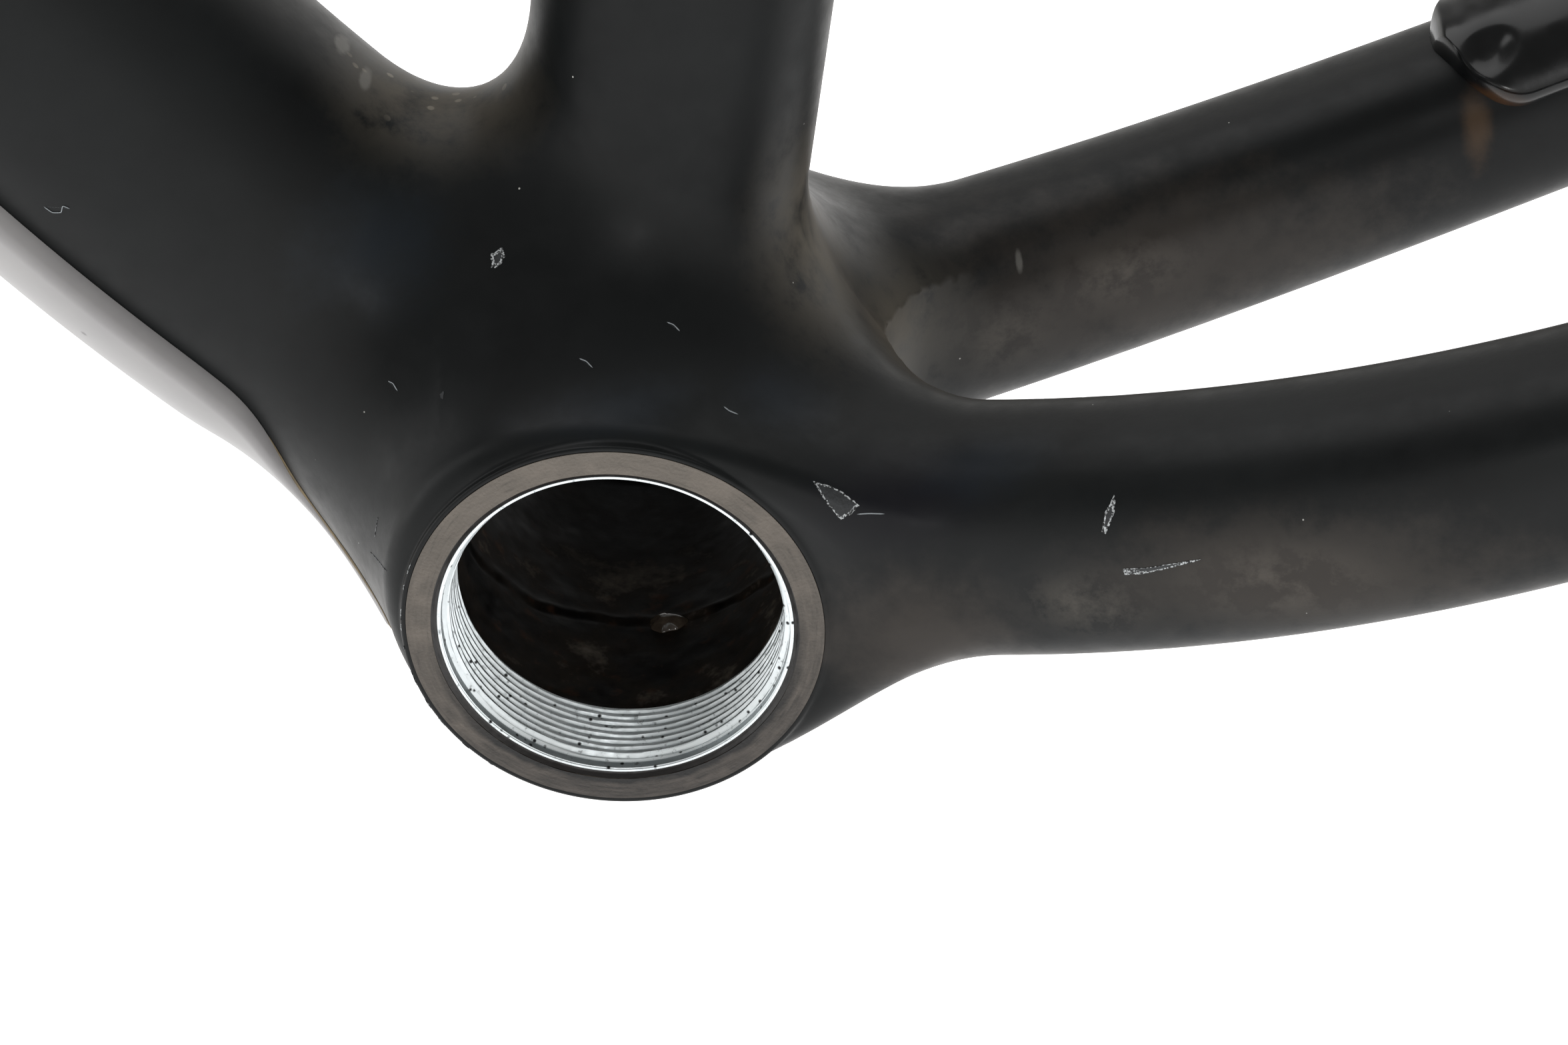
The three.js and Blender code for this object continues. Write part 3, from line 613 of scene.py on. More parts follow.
def cut_at_joint(bm, tube, side):
    """Cuts the junction off flat at a tube's joint and closes the wall there."""
    c = math.cos(math.radians(tube["angle"]))
    s = math.sin(math.radians(tube["angle"]))
    reach = []
    for v in bm.verts:
        p = np.array(v.co) / MM
        along, across = along_and_across(tube, p)
        if along > tube["joint"] - 4 and abs(across) < 0.8 * tube["height"]:
            if tube["splay"](0.0) == 0 or p[1] * side > 0:
                reach.append(v)
    faces = {f for v in reach for f in v.link_faces}
    edges = {e for f in faces for e in f.edges}
    verts = {v for f in faces for v in f.verts}
    plane = tube["joint"] * MM
    bmesh.ops.bisect_plane(
        bm, geom=[*verts, *edges, *faces], plane_co=(c * plane, 0, s * plane),
        plane_no=(c, 0, s), clear_outer=True, dist=1e-7,
    )
    rim = [e for e in bm.edges if e.is_boundary]
    bmesh.ops.triangle_fill(bm, use_beauty=True, edges=rim, normal=(c, 0, s))


# Matt clear coat over carbon: near black, faintly green or violet where the film is thicker, with a dusty
# sheen towards the edges, painted blue-grey highlights on top, painted light on the stays' sides, dust in
# the crooks and fine pale specks.
matt_clear = new_material("matt_clear_coat_over_carbon")
at = put(matt_clear, "TexCoord", {}).outputs["Object"]


def patch(material, at, centre, size, feather=1.0, breakup=None):
    """How much a point is in an oval patch, all in millimetres: 1 in its middle, 0 outside."""
    place = put(
        material, "Mapping",
        {"Vector": at, "Location": [v * MM for v in centre], "Scale": [v * MM for v in size]},
        vector_type="TEXTURE",
    ).outputs[0]
    reach = put(material, "VectorMath", {0: place}, operation="LENGTH").outputs["Value"]
    if breakup is not None:
        reach = put(material, "Math", {0: reach, 1: breakup}, operation="ADD").outputs[0]
    return put(
        material, "MapRange", {"Value": reach, "From Min": 1.0, "From Max": 1.0 - feather},
        interpolation_type="SMOOTHSTEP",
    ).outputs[0]


def layer(material, base, mask, amount, colour):
    """Lays a colour over what is there, as strongly as its mask says."""
    weight = put(material, "Math", {0: mask, 1: amount}, operation="MULTIPLY").outputs[0]
    inputs = {0: weight, 6: base, 7: colour}
    return put(material, "Mix", inputs, data_type="RGBA").outputs[2]


def either(material, masks):
    """The strongest of some masks."""
    most = masks[0]
    for mask in masks[1:]:
        most = put(material, "Math", {0: most, 1: mask}, operation="MAXIMUM").outputs[0]
    return most


clouds = put(
    matt_clear, "TexNoise", {"Vector": at, "Scale": 1 / (22 * MM), "Detail": 4.0}
).outputs["Fac"]
dust = put(
    matt_clear, "TexNoise",
    {"Vector": at, "Scale": 1 / (4.5 * MM), "Detail": 6.0, "Roughness": 0.68},
).outputs["Fac"]
fine = put(
    matt_clear, "TexNoise", {"Vector": at, "Scale": 1 / (0.5 * MM), "Detail": 3.0}
).outputs["Fac"]
ragged = put(matt_clear, "Math", {0: dust, 1: -0.5}, operation="ADD").outputs[0]

film = put(matt_clear, "ValToRGB", {"Fac": clouds})
film.color_ramp.elements[0].position = 0.35
film.color_ramp.elements[0].color = linear("#0a0c0d")
film.color_ramp.elements[1].position = 0.7
film.color_ramp.elements[1].color = linear("#121516")
tone = film.outputs[0]
violet = patch(matt_clear, at, (30, -33, 11), (14, 10, 8))
tone = layer(matt_clear, tone, violet, 0.5, linear("#15131c"))

# Soft blue-grey patches on the down tube, the shoulders, above the ring and on the near stay's top: painted
# highlight.
painted_blue_highlight = either(matt_clear, [
    patch(matt_clear, at, (-18.9, -16.1, 36.9), (11, 9, 9), 1.0, ragged),
    patch(matt_clear, at, (19.3, -24.6, 18.8), (9, 7, 5), 1.0, ragged),
    patch(matt_clear, at, (39, -30.6, 12.8), (10, 6, 5), 1.0, ragged),
    patch(matt_clear, at, (6, -30, 23), (16, 6, 3), 1.0, ragged),
])
tone = layer(matt_clear, tone, painted_blue_highlight, 0.3, linear("#27303a"))

# Road dust: tan and dense in the crooks between tubes, and pale smudges on the stays.
crooks = either(matt_clear, [
    patch(matt_clear, at, (-12, 0, 46), (22, 15, 10), 0.8, ragged),
    patch(matt_clear, at, (24, -4, 26), (10, 20, 18), 0.8, ragged),
    patch(matt_clear, at, (32, 0, 8), (14, 20, 16), 0.8, ragged),
])
dust_cover = put(matt_clear, "MapRange", {"Value": dust, "From Min": 0.3, "From Max": 0.68}).outputs[0]
dusty = put(matt_clear, "Math", {0: crooks, 1: dust_cover}, operation="MULTIPLY").outputs[0]
tone = layer(matt_clear, tone, dusty, 0.72, linear("#6b6458"))
# Brown-grey over the sides of the stays and under the near stay's root: painted light from the table below.
painted_stay_side_light = either(matt_clear, [
    patch(matt_clear, at, (62, -44, 4), (40, 8, 10), 0.9, ragged),
    patch(matt_clear, at, (30, -35, -4), (16, 6, 11), 0.9, ragged),
    patch(matt_clear, at, (55, 20, 4), (48, 12, 14), 0.8, ragged),
])
tone = layer(matt_clear, tone, painted_stay_side_light, 0.4, linear("#4d4640"))
smudges = either(matt_clear, [
    patch(matt_clear, at, (47, -39.3, 0.5), (12, 5, 6), 0.8, ragged),
    patch(matt_clear, at, (66, -43, 3), (22, 5, 8), 0.9, ragged),
    patch(matt_clear, at, (41, 14, 1), (14, 6, 9), 0.9, ragged),
    patch(matt_clear, at, (54, 18, 5), (16, 6, 7), 0.9, ragged),
])
blotches = put(matt_clear, "MapRange", {"Value": dust, "From Min": 0.42, "From Max": 0.64}).outputs[0]
smudged = put(matt_clear, "Math", {0: smudges, 1: blotches}, operation="MULTIPLY").outputs[0]
tone = layer(matt_clear, tone, smudged, 0.24, linear("#857e75"))
speckle = put(
    matt_clear, "TexVoronoi", {"Vector": at, "Scale": 1 / (3.6 * MM)}, feature="F1"
).outputs
chosen = put(matt_clear, "SeparateXYZ", {0: speckle["Color"]}).outputs["X"]
few = put(matt_clear, "MapRange", {"Value": chosen, "From Min": 0.8, "From Max": 0.82}).outputs[0]
dots = put(
    matt_clear, "MapRange", {"Value": speckle["Distance"], "From Min": 0.035, "From Max": 0.02}
).outputs[0]
specks = put(matt_clear, "Math", {0: few, 1: dots}, operation="MULTIPLY").outputs[0]
tone = layer(matt_clear, tone, specks, 0.8, linear("#c9c9c4"))
splashes = put(
    matt_clear, "TexVoronoi", {"Vector": at, "Scale": 1 / (2.4 * MM)}, feature="F1"
).outputs["Distance"]
splash = put(
    matt_clear, "MapRange", {"Value": splashes, "From Min": 0.2, "From Max": 0.14}
).outputs[0]
splash_place = patch(matt_clear, at, (-14, 0, 47), (12, 6, 7), 0.5, ragged)
splashed = put(matt_clear, "Math", {0: splash, 1: splash_place}, operation="MULTIPLY").outputs[0]
tone = layer(matt_clear, tone, splashed, 0.6, linear("#8f887a"))

# Two pale flakes of old polish on top of the down tube, and a drip stain under the protector.
polish_marks = either(matt_clear, [
    patch(matt_clear, at, (-21.2, 1.1, 51.3), (0.9, 2.6, 1.5), 0.5, ragged),
    patch(matt_clear, at, (-19, -1.8, 48.5), (0.7, 2.8, 1.3), 0.5, ragged),
    patch(matt_clear, at, (43.2, 16, 9), (0.5, 2, 1.5), 0.6, ragged),
])
tone = layer(matt_clear, tone, polish_marks, 0.4, linear("#8d8b86"))
drip = patch(matt_clear, at, (94.5, 25, 13.5), (2.2, 5, 7), 0.9, ragged)
tone = layer(matt_clear, tone, drip, 0.5, linear("#5b4632"))

patina = put(
    matt_clear, "MapRange",
    {"Value": dust, "From Min": 0.3, "From Max": 0.7, "To Min": 0.36, "To Max": 0.5},
).outputs[0]
relief = put(matt_clear, "Bump", {"Strength": 0.25, "Distance": 0.03 * MM, "Height": fine}).outputs[0]
finish_with(
    matt_clear, Base_Color=tone, Roughness=patina, Normal=relief, IOR=1.45, Specular_IOR_Level=0.26,
    Sheen_Weight=0.08, Sheen_Roughness=0.3, Sheen_Tint=linear("#c7b59f"),
)

# Carbon laminate inside the tubes and at their cut ends: plies and bag wrinkles, dull and brown.
raw_laminate = new_material("carbon_laminate_raw")
at = put(raw_laminate, "TexCoord", {}).outputs["Object"]
plies = put(
    raw_laminate, "TexNoise", {"Vector": at, "Scale": 1 / (1.2 * MM), "Detail": 5.0}
).outputs["Fac"]
tone = put(
    raw_laminate, "Mix", {0: plies, 6: linear("#211d1a"), 7: linear("#4a4038")}, data_type="RGBA"
).outputs[2]
relief = put(raw_laminate, "Bump", {"Strength": 0.5, "Distance": 0.1 * MM, "Height": plies}).outputs[0]
finish_with(raw_laminate, Base_Color=tone, Roughness=0.6, Normal=relief, IOR=1.55)

radii = np.concatenate(
    [[20.4, 20.85], np.arange(21.1, 22.6, 0.25), np.arange(23, 66, 1.0), [66.5, 67.5, 69, 70]]
)
half = np.concatenate([np.arange(0.5, 32, 1.0), np.arange(32.25, 34.6, 0.25), np.arange(35.5, 46)])
points, faces = trace(junction_field, radii, 300, np.concatenate([-half[::-1], half]))
junction = new_mesh("moulded_junction", points, faces)
bm = bmesh.new()
bm.from_mesh(junction.data)
for tube, side in ((DOWN_TUBE, 1), (SEAT_TUBE, 1), (CHAINSTAY, 1), (CHAINSTAY, -1)):
    cut_at_joint(bm, tube, side)
bmesh.ops.recalc_face_normals(bm, faces=bm.faces)
bm.to_mesh(junction.data)
bm.free()
junction.data.materials.append(matt_clear)
junction.data.materials.append(raw_laminate)
middles = np.array([f.center for f in junction.data.polygons]) / MM
buried = skin_field(middles) < -0.4
junction.data.polygons.foreach_set("material_index", buried.astype(int))
set_normals(junction, junction_field)
own(junction, "junction_moulding", slot="painted_carbon")

# ---------------------------------------------------------------- tubes
# Four tubes leave the junction: down tube, seat tube and two chainstays. Each is bonded to its
# root over an inner sleeve and painted with it, so no joint shows. They are cut off square here.

TUBE_STEPS = 144
LAP_STEPS = 96
LAP_REACH = 12.0  # of the inner sleeve, to each side of the joint
LAP_LEVELS = (-2.3, -3.7)


def section_points(tube, field, s, turn, level, side=1):
    """Where a field has a level, round a tube at distances s and turns in degrees."""
    s, turn, level = np.broadcast_arrays(s, turn, np.asarray(level, float))
    c = math.cos(math.radians(tube["angle"]))
    n = math.sin(math.radians(tube["angle"]))

    def point(r):
        across = tube["lift"](s) + r * np.cos(np.radians(turn))
        y = side * (tube["splay"](s) + r * np.sin(np.radians(turn)))
        return np.stack([s * c - across * n, y, s * n + across * c], -1)

    near = np.ones(s.shape)
    far = np.full(s.shape, max(tube["height"], tube["width"]), float)
    for _ in range(30):
        middle = (near + far) / 2
        short = field(point(middle)) < level
        near, far = np.where(short, middle, near), np.where(short, far, middle)
    return point((near + far) / 2)


def tube_wall(name, tube, start, end, levels, side, steps=TUBE_STEPS, pitch=1.2):
    """A tube's wall between two levels of its skin, as rings of points out and back again."""
    rows = np.linspace(start, end, int((end - start) / pitch) + 2)[:, None]
    turns = np.arange(steps)[None, :] * 360 / steps
    plain = lambda p: tube_field(tube, p, side)
    outer = section_points(tube, skin_field if levels[0] == 0 else plain, rows, turns, levels[0], side)
    inner = section_points(tube, plain, rows[::-1], turns, levels[1], side)
    piece = new_mesh(name, np.concatenate([outer, inner]), wrapped_grid(2 * len(rows), steps))
    return piece, len(rows)


for tube_name, tube, side in (
    ("down_tube", DOWN_TUBE, 1),
    ("seat_tube", SEAT_TUBE, 1),
    ("chainstay_left", CHAINSTAY, -1),
    ("chainstay_right", CHAINSTAY, 1),
):
    wall, rows = tube_wall(tube_name + "_stub", tube, tube["joint"], tube["end"], (0, -TUBE_WALL), side)
    wall.data.materials.append(matt_clear)
    wall.data.materials.append(raw_laminate)
    painted = np.arange(len(wall.data.polygons)) < (rows - 1) * TUBE_STEPS
    wall.data.polygons.foreach_set("material_index", (~painted).astype(int))
    set_normals(wall, skin_field)
    own(wall, tube_name, slot="painted_carbon")

    # The inner sleeve that bridges the joint, cured carbon with its plies showing.
    lap_start, lap_end = tube["joint"] - LAP_REACH, tube["joint"] + LAP_REACH
    lap_name = tube_name + "_inner_sleeve"
    lap, _ = tube_wall(lap_name, tube, lap_start, lap_end, LAP_LEVELS, side, LAP_STEPS)
    smooth(lap)
    lap.data.materials.append(raw_laminate)
    own(lap, tube_name + "_lap_sleeve", slot="raw_carbon")

# ---------------------------------------------------------------- down tube guard
# A smooth grey moulded cover is stuck under the down tube and the shell against stones. It has a
# waist above the shell; its edges come down to the paint, and old adhesive shows near its end.

GUARD_LIFT = 0.8
GUARD_THICKNESS = 1.5
GUARD_THIN = 0.5
GUARD_THINNING = (18, 42)
GUARD_START = 9.0
GUARD_HALF_ANGLE = 62.0
GUARD_WAIST = 20.0
GUARD_WAIST_AT = 24.0
GUARD_WAIST_LENGTH = 10.0
GUARD_NOSE = 5.0
GUARD_FOOT = 0.15
COVER_COLUMNS = 97
NOSE_WIDTH = 0.3
EDGE_ROUND = 1.3


def nose(s, start, length):
    t = np.clip((s - start) / length, 0, 1)
    return NOSE_WIDTH + (1 - NOSE_WIDTH) * np.sin(t * math.pi / 2)


def cover(name, tube, stations, edges, columns, foot, lift, top, dent=None):
    """A cover on a tube: rounded down to its foot at the edges, hollow under its middle."""
    s = stations[:, None]
    low, high = edges(s)
    share = (1 - np.cos(np.linspace(0, math.pi, columns)))[None, :] / 2
    share = 0.35 * share + 0.65 * np.linspace(0, 1, columns)[None, :]
    turn = low + (high - low) * share
    reach = np.minimum(share, 1 - share) * np.radians(high - low) * tube["width"] / 2
    reach = np.minimum(reach, s - stations[0])
    t = np.clip(reach / EDGE_ROUND, 0, 1)
    outer = foot + (top(s) - foot) * np.sqrt(1 - (1 - t) ** 2)
    if dent is not None:
        outer = outer - dent(s, turn)
    inner = foot - 0.1 + (lift - foot + 0.1) * np.clip((reach - 1.2) / 1.0, 0, 1)
    upper = section_points(tube, skin_field, s, turn, outer).reshape(-1, 3)
    lower = section_points(tube, skin_field, s, turn, inner).reshape(-1, 3)
    rows = len(stations)
    i, j = np.meshgrid(np.arange(rows - 1), np.arange(columns - 1), indexing="ij")
    a = i * columns + j
    sheet = np.stack([a, a + 1, a + columns + 1, a + columns], -1).reshape(-1, 4)
    offset = rows * columns
    rim = np.concatenate([
        np.arange(columns),
        np.arange(1, rows) * columns + columns - 1,
        (rows - 1) * columns + np.arange(columns - 2, -1, -1),
        np.arange(rows - 2, 0, -1) * columns,
    ])
    on = np.roll(rim, -1)
    walls = np.stack([rim, rim + offset, on + offset, on], -1)
    faces = np.concatenate([sheet, sheet[:, ::-1] + offset, walls])
    piece = new_mesh(name, np.concatenate([upper, lower]), faces)
    smooth(piece, 50)
    return piece


def guard_edges(s):
    waist = GUARD_WAIST * np.exp(-(((s - GUARD_WAIST_AT) / GUARD_WAIST_LENGTH) ** 2))
    half = (GUARD_HALF_ANGLE - waist) * nose(s, GUARD_START, GUARD_NOSE)
    return -half, half


def guard_top(s):
    share = np.clip((s - GUARD_THINNING[0]) / (GUARD_THINNING[1] - GUARD_THINNING[0]), 0, 1)
    share = share * share * (3 - 2 * share)
    return GUARD_THIN + (GUARD_LIFT + GUARD_THICKNESS - GUARD_THIN) * share


# Injection-moulded thermoplastic: even mid grey with a soft gloss, scuffed and dusty in places.
guard_plastic = new_material("thermoplastic_moulded_grey")
at = put(guard_plastic, "TexCoord", {}).outputs["Object"]
scuffs = put(
    guard_plastic, "TexNoise", {"Vector": at, "Scale": 1 / (12 * MM), "Detail": 6.0, "Roughness": 0.6}
).outputs["Fac"]
tone = put(
    guard_plastic, "Mix", {0: scuffs, 6: linear("#807e80"), 7: linear("#a6a4a3")}, data_type="RGBA"
).outputs[2]
pits = put(
    guard_plastic, "TexVoronoi", {"Vector": at, "Scale": 1 / (9 * MM)}, feature="F1"
).outputs["Distance"]
pit = put(guard_plastic, "MapRange", {"Value": pits, "From Min": 0.05, "From Max": 0.02}).outputs[0]
tone = layer(guard_plastic, tone, pit, 0.7, linear("#3a3836"))
polish = put(
    guard_plastic, "MapRange",
    {"Value": scuffs, "From Min": 0.3, "From Max": 0.7, "To Min": 0.3, "To Max": 0.45},
).outputs[0]
grain = put(
    guard_plastic, "TexNoise", {"Vector": at, "Scale": 1 / (0.4 * MM), "Detail": 2.0}
).outputs["Fac"]
relief = put(guard_plastic, "Bump", {"Strength": 0.15, "Distance": 0.02 * MM, "Height": grain}).outputs[0]
finish_with(guard_plastic, Base_Color=tone, Roughness=polish, Normal=relief, IOR=1.5)

stations = np.concatenate([
    GUARD_START + np.array([0, 0.1, 0.3, 0.6, 1.0, 1.5]),
    np.arange(GUARD_START + 2.2, DOWN_TUBE["end"], 1.0), [DOWN_TUBE["end"]],
])
guard = cover(
    "down_tube_guard_cover", DOWN_TUBE, stations, guard_edges, COVER_COLUMNS,
    GUARD_FOOT, GUARD_FOOT, guard_top,
)
guard.data.materials.append(guard_plastic)
own(guard, "down_tube_guard", slot="guard_plastic")

# Foam tape under the guard, and a squeezed-out line of old adhesive along its lower edges.
TAPE_MARGIN = 5.0
TAPE_LEVELS = (-0.1, 0.1)
TAPE_COLUMNS = 41
TAPE_ROWS = 60
ADHESIVE_END = 34.0  # how far up the tube the squeezed-out line runs
ADHESIVE_FADE = 12.0

old_adhesive = new_material("acrylic_adhesive_aged")
at = put(old_adhesive, "TexCoord", {}).outputs["Object"]
age = put(old_adhesive, "TexNoise", {"Vector": at, "Scale": 1 / (1.6 * MM), "Detail": 4.0}).outputs["Fac"]
tone = put(
    old_adhesive, "Mix", {0: age, 6: linear("#352a18"), 7: linear("#7d6a42")}, data_type="RGBA"
).outputs[2]
relief = put(old_adhesive, "Bump", {"Strength": 0.6, "Distance": 0.1 * MM, "Height": age}).outputs[0]
finish_with(old_adhesive, Base_Color=tone, Roughness=0.5, Normal=relief, IOR=1.47)


def tape(name, tube, start, end, edges, node):
    stations = np.linspace(start, end, TAPE_ROWS)
    low, high = TAPE_LEVELS
    piece = cover(name, tube, stations, edges, TAPE_COLUMNS, low, low, lambda s: high + 0 * s)
    piece.data.materials.append(old_adhesive)
    own(piece, node, slot="adhesive")


def inset(edges, tube):
    """The same outline, drawn in all round by the tape's margin."""
    margin = math.degrees(2 * TAPE_MARGIN / tube["width"])

    def drawn_in(s):
        low, high = edges(s)
        return low + margin, high - margin

    return drawn_in


tape(
    "guard_tape", DOWN_TUBE, GUARD_START + TAPE_MARGIN, DOWN_TUBE["end"] - TAPE_MARGIN,
    inset(guard_edges, DOWN_TUBE), "down_tube_guard_tape",
)

for side_name, side in (("left", -1), ("right", 1)):
    s = np.linspace(GUARD_START + 3, ADHESIVE_END, TAPE_ROWS)[:, None]
    spread_out = 0.7 + 0.4 * lumps(np.stack([s, 0 * s, side + 0 * s], -1), 2.5, 8)
    spread_out = spread_out * np.sqrt(np.clip((ADHESIVE_END - s) / ADHESIVE_FADE, 0.02, 1))
    edge = guard_edges(s)[(side + 1) // 2]
    ring = np.radians(np.arange(10) * 36)[None, :]
    turn = edge + side * np.degrees((spread_out * np.cos(ring) * 0.7) / 19.6)
    level = 0.04 + 0.28 * np.clip(np.sin(ring), -0.3, 1) * spread_out
    points = section_points(DOWN_TUBE, skin_field, s, turn, level)
    caps = [points[:1].mean(1, keepdims=True), points[-1:].mean(1, keepdims=True)]
    tip = [np.repeat(cap, 10, 1) * 0.98 + 0.02 * end for cap, end in zip(caps, (points[:1], points[-1:]))]
    points = np.concatenate([tip[0], points, tip[1]])
    grid = wrapped_grid(len(points), 10)
    bead = new_mesh("adhesive_line_" + side_name, points, grid)
    smooth(bead, 60)
    bead.data.materials.append(old_adhesive)
    own(bead, slot="adhesive")

# ---------------------------------------------------------------- chainstay protector
# A thick moulded rubber cover is stuck over the chain side stay. Its front end is rounded, with a
# lip and a thumb-sized dimple, and road grime has gathered along its lower edge.

PROTECTOR_THICKNESS = 2.1
PROTECTOR_START = 88.5
PROTECTOR_ANGLES = (-67, 57)
PROTECTOR_NOSE = 10.0
DIMPLE = (93.6, -37.0)
DIMPLE_SIZE = (2.6, 2.0)
DIMPLE_DEPTH = 1.3
LIP_WIDTH = 1.1

# Moulded rubber, handled smooth: black, half glossy, with orange-brown grime near the lower edge.
rubber = new_material("rubber_moulded_smooth")
at = put(rubber, "TexCoord", {}).outputs["Object"]
marks = put(rubber, "TexNoise", {"Vector": at, "Scale": 1 / (3 * MM), "Detail": 5.0}).outputs["Fac"]
tone = put(
    rubber, "Mix", {0: marks, 6: linear("#070808"), 7: linear("#111214")}, data_type="RGBA"
).outputs[2]
ragged = put(rubber, "Math", {0: marks, 1: -0.5}, operation="ADD").outputs[0]
grime = patch(rubber, at, (95.5, 25.8, 16), (6, 5, 3.2), 0.7, ragged)
tone = layer(rubber, tone, grime, 0.6, linear("#523823"))
polish = put(
    rubber, "MapRange",
    {"Value": marks, "From Min": 0.3, "From Max": 0.7, "To Min": 0.16, "To Max": 0.3},
).outputs[0]
relief = put(rubber, "Bump", {"Strength": 0.25, "Distance": 0.08 * MM, "Height": marks}).outputs[0]
finish_with(
    rubber, Base_Color=tone, Roughness=polish, Normal=relief, IOR=1.5, Specular_IOR_Level=0.4
)


def protector_edges(s):
    k = nose(s, PROTECTOR_START, PROTECTOR_NOSE)
    tip = np.clip((s - PROTECTOR_START) / 3, 0, 1)
    k = k * (0.3 + 0.7 * np.sqrt(1 - (1 - tip) ** 2))
    low, high = PROTECTOR_ANGLES
    middle = (low + high) / 2
    return middle + (low - middle) * k, middle + (high - middle) * k


def dimple(s, turn):
    u = (s - DIMPLE[0]) / DIMPLE_SIZE[0]
    v = np.radians(turn - DIMPLE[1]) * 11.5 / DIMPLE_SIZE[1]
    lip = np.exp(-(((s - PROTECTOR_START - 2.0) / LIP_WIDTH) ** 2)) * 0.25
    return DIMPLE_DEPTH * np.exp(-((u**2 + v**2) ** 1.4)) + lip


stations = np.concatenate([
    PROTECTOR_START + np.array([0, 0.08, 0.2, 0.4, 0.7]),
    np.arange(PROTECTOR_START + 1, PROTECTOR_START + 14, 0.35),
    np.arange(PROTECTOR_START + 14.5, CHAINSTAY["end"], 1.2), [CHAINSTAY["end"]],
])
protector = cover(
    "chainstay_protector_cover", CHAINSTAY, stations, protector_edges, COVER_COLUMNS,
    GUARD_FOOT, GUARD_LIFT, lambda s: GUARD_LIFT + PROTECTOR_THICKNESS + 0 * s, dimple,
)
protector.data.materials.append(rubber)
own(protector, "chainstay_protector", slot="rubber")
tape(
    "protector_tape", CHAINSTAY, PROTECTOR_START + TAPE_MARGIN, CHAINSTAY["end"] - TAPE_MARGIN,
    inset(protector_edges, CHAINSTAY), "chainstay_protector_tape",
)

# ---------------------------------------------------------------- resin drop
# A drop of laminating resin ran down inside the sleeve before it cured, and set on its floor as a
# glossy dark bead.

BEAD_RADIUS = 1.9
BEAD_HEIGHT = 1.1
BEAD_TURN = 1.5
BEAD_Y = -6.0

cured_resin = new_material("epoxy_resin_cured_drop")
at = put(cured_resin, "TexCoord", {}).outputs["Object"]
cloudy = put(cured_resin, "TexNoise", {"Vector": at, "Scale": 1 / (0.8 * MM), "Detail": 3.0}).outputs["Fac"]
tone = put(
    cured_resin, "Mix", {0: cloudy, 6: linear("#2a2119"), 7: linear("#6a5e52")}, data_type="RGBA"
).outputs[2]
finish_with(cured_resin, Base_Color=tone, Roughness=0.12, IOR=1.55)

down = math.radians(BEAD_TURN - 90)
ring = np.linspace(0, 1, 13)[:, None]
round_it = np.radians(np.arange(48) * 7.5)[None, :]
waver = 1 + 0.16 * np.cos(2 * round_it + 0.7) + 0.1 * np.cos(3 * round_it) + 0.04 * np.cos(7 * round_it)
flatness = BEAD_RADIUS * np.maximum(ring, 0.004) * waver
u, v = flatness * np.cos(round_it), flatness * np.sin(round_it)
top = BEAD_HEIGHT * (1 - ring**2.2) + 0 * round_it
floor_at = np.sqrt(SLEEVE_BORE**2 - u**2)
rows = [(floor_at - top + 0.02, u, v), ((floor_at + 0.15), u, v)]
shape = []
for depth, across, along in (rows[0], tuple(part[::-1] for part in rows[1])):
    x = depth * math.cos(down) - across * math.sin(down)
    z = depth * math.sin(down) + across * math.cos(down)
    shape.append(np.stack([x, BEAD_Y + along, z], -1))
drop = new_mesh("resin_drop", np.concatenate(shape), wrapped_grid(26, 48))
smooth(drop, 60)
drop.data.materials.append(cured_resin)
own(drop, "resin_bead", slot="resin")

# ---------------------------------------------------------------- chips and lint
# Years of knocks have flaked the clear coat off in a few places: each chip is dark inside, with a
# ragged white edge where the coat has cracked. Lint and hairs lie on the dusty paint.

CHIP_TOP = 0.05
CHIP_BOTTOM = -0.12
CHIP_RAGGED = 0.16
CHIP_RINGS = (0.02, 0.3, 0.55, 0.72, 0.84, 0.93, 1.0)
CHIP_SIDES = 72

# Cracked clear coat: chalky white flakes with dark gaps.
cracked_coat = new_material("clear_coat_cracked")
at = put(cracked_coat, "TexCoord", {}).outputs["Object"]
cracks = put(
    cracked_coat, "TexNoise", {"Vector": at, "Scale": 1 / (0.22 * MM), "Detail": 3.0}
).outputs["Fac"]
chalk = put(cracked_coat, "ValToRGB", {"Fac": cracks})
chalk.color_ramp.elements[0].position = 0.44
chalk.color_ramp.elements[0].color = linear("#1b1c1d")
chalk.color_ramp.elements[1].position = 0.6
chalk.color_ramp.elements[1].color = linear("#c4c8ca")
finish_with(cracked_coat, Base_Color=chalk.outputs[0], Roughness=0.6, IOR=1.45)

# Bare laminate at the bottom of a chip, dark grey and rough.
chip_floor = new_material("carbon_laminate_chipped")
at = put(chip_floor, "TexCoord", {}).outputs["Object"]
torn = put(chip_floor, "TexNoise", {"Vector": at, "Scale": 1 / (0.4 * MM), "Detail": 4.0}).outputs["Fac"]
tone = put(
    chip_floor, "Mix", {0: torn, 6: linear("#0e0f10"), 7: linear("#34373a")}, data_type="RGBA"
).outputs[2]
relief = put(chip_floor, "Bump", {"Strength": 0.8, "Distance": 0.1 * MM, "Height": torn}).outputs[0]
finish_with(chip_floor, Base_Color=tone, Roughness=0.55, Normal=relief, IOR=1.5)


def on_skin(p, height):
    """Moves points straight on to the skin, at a height above it."""
    for _ in range(4):
        slope = slope_of(skin_field, p)
        p = p - slope * (skin_field(p) - height)[..., None] / (slope**2).sum(-1)[..., None]
    return p


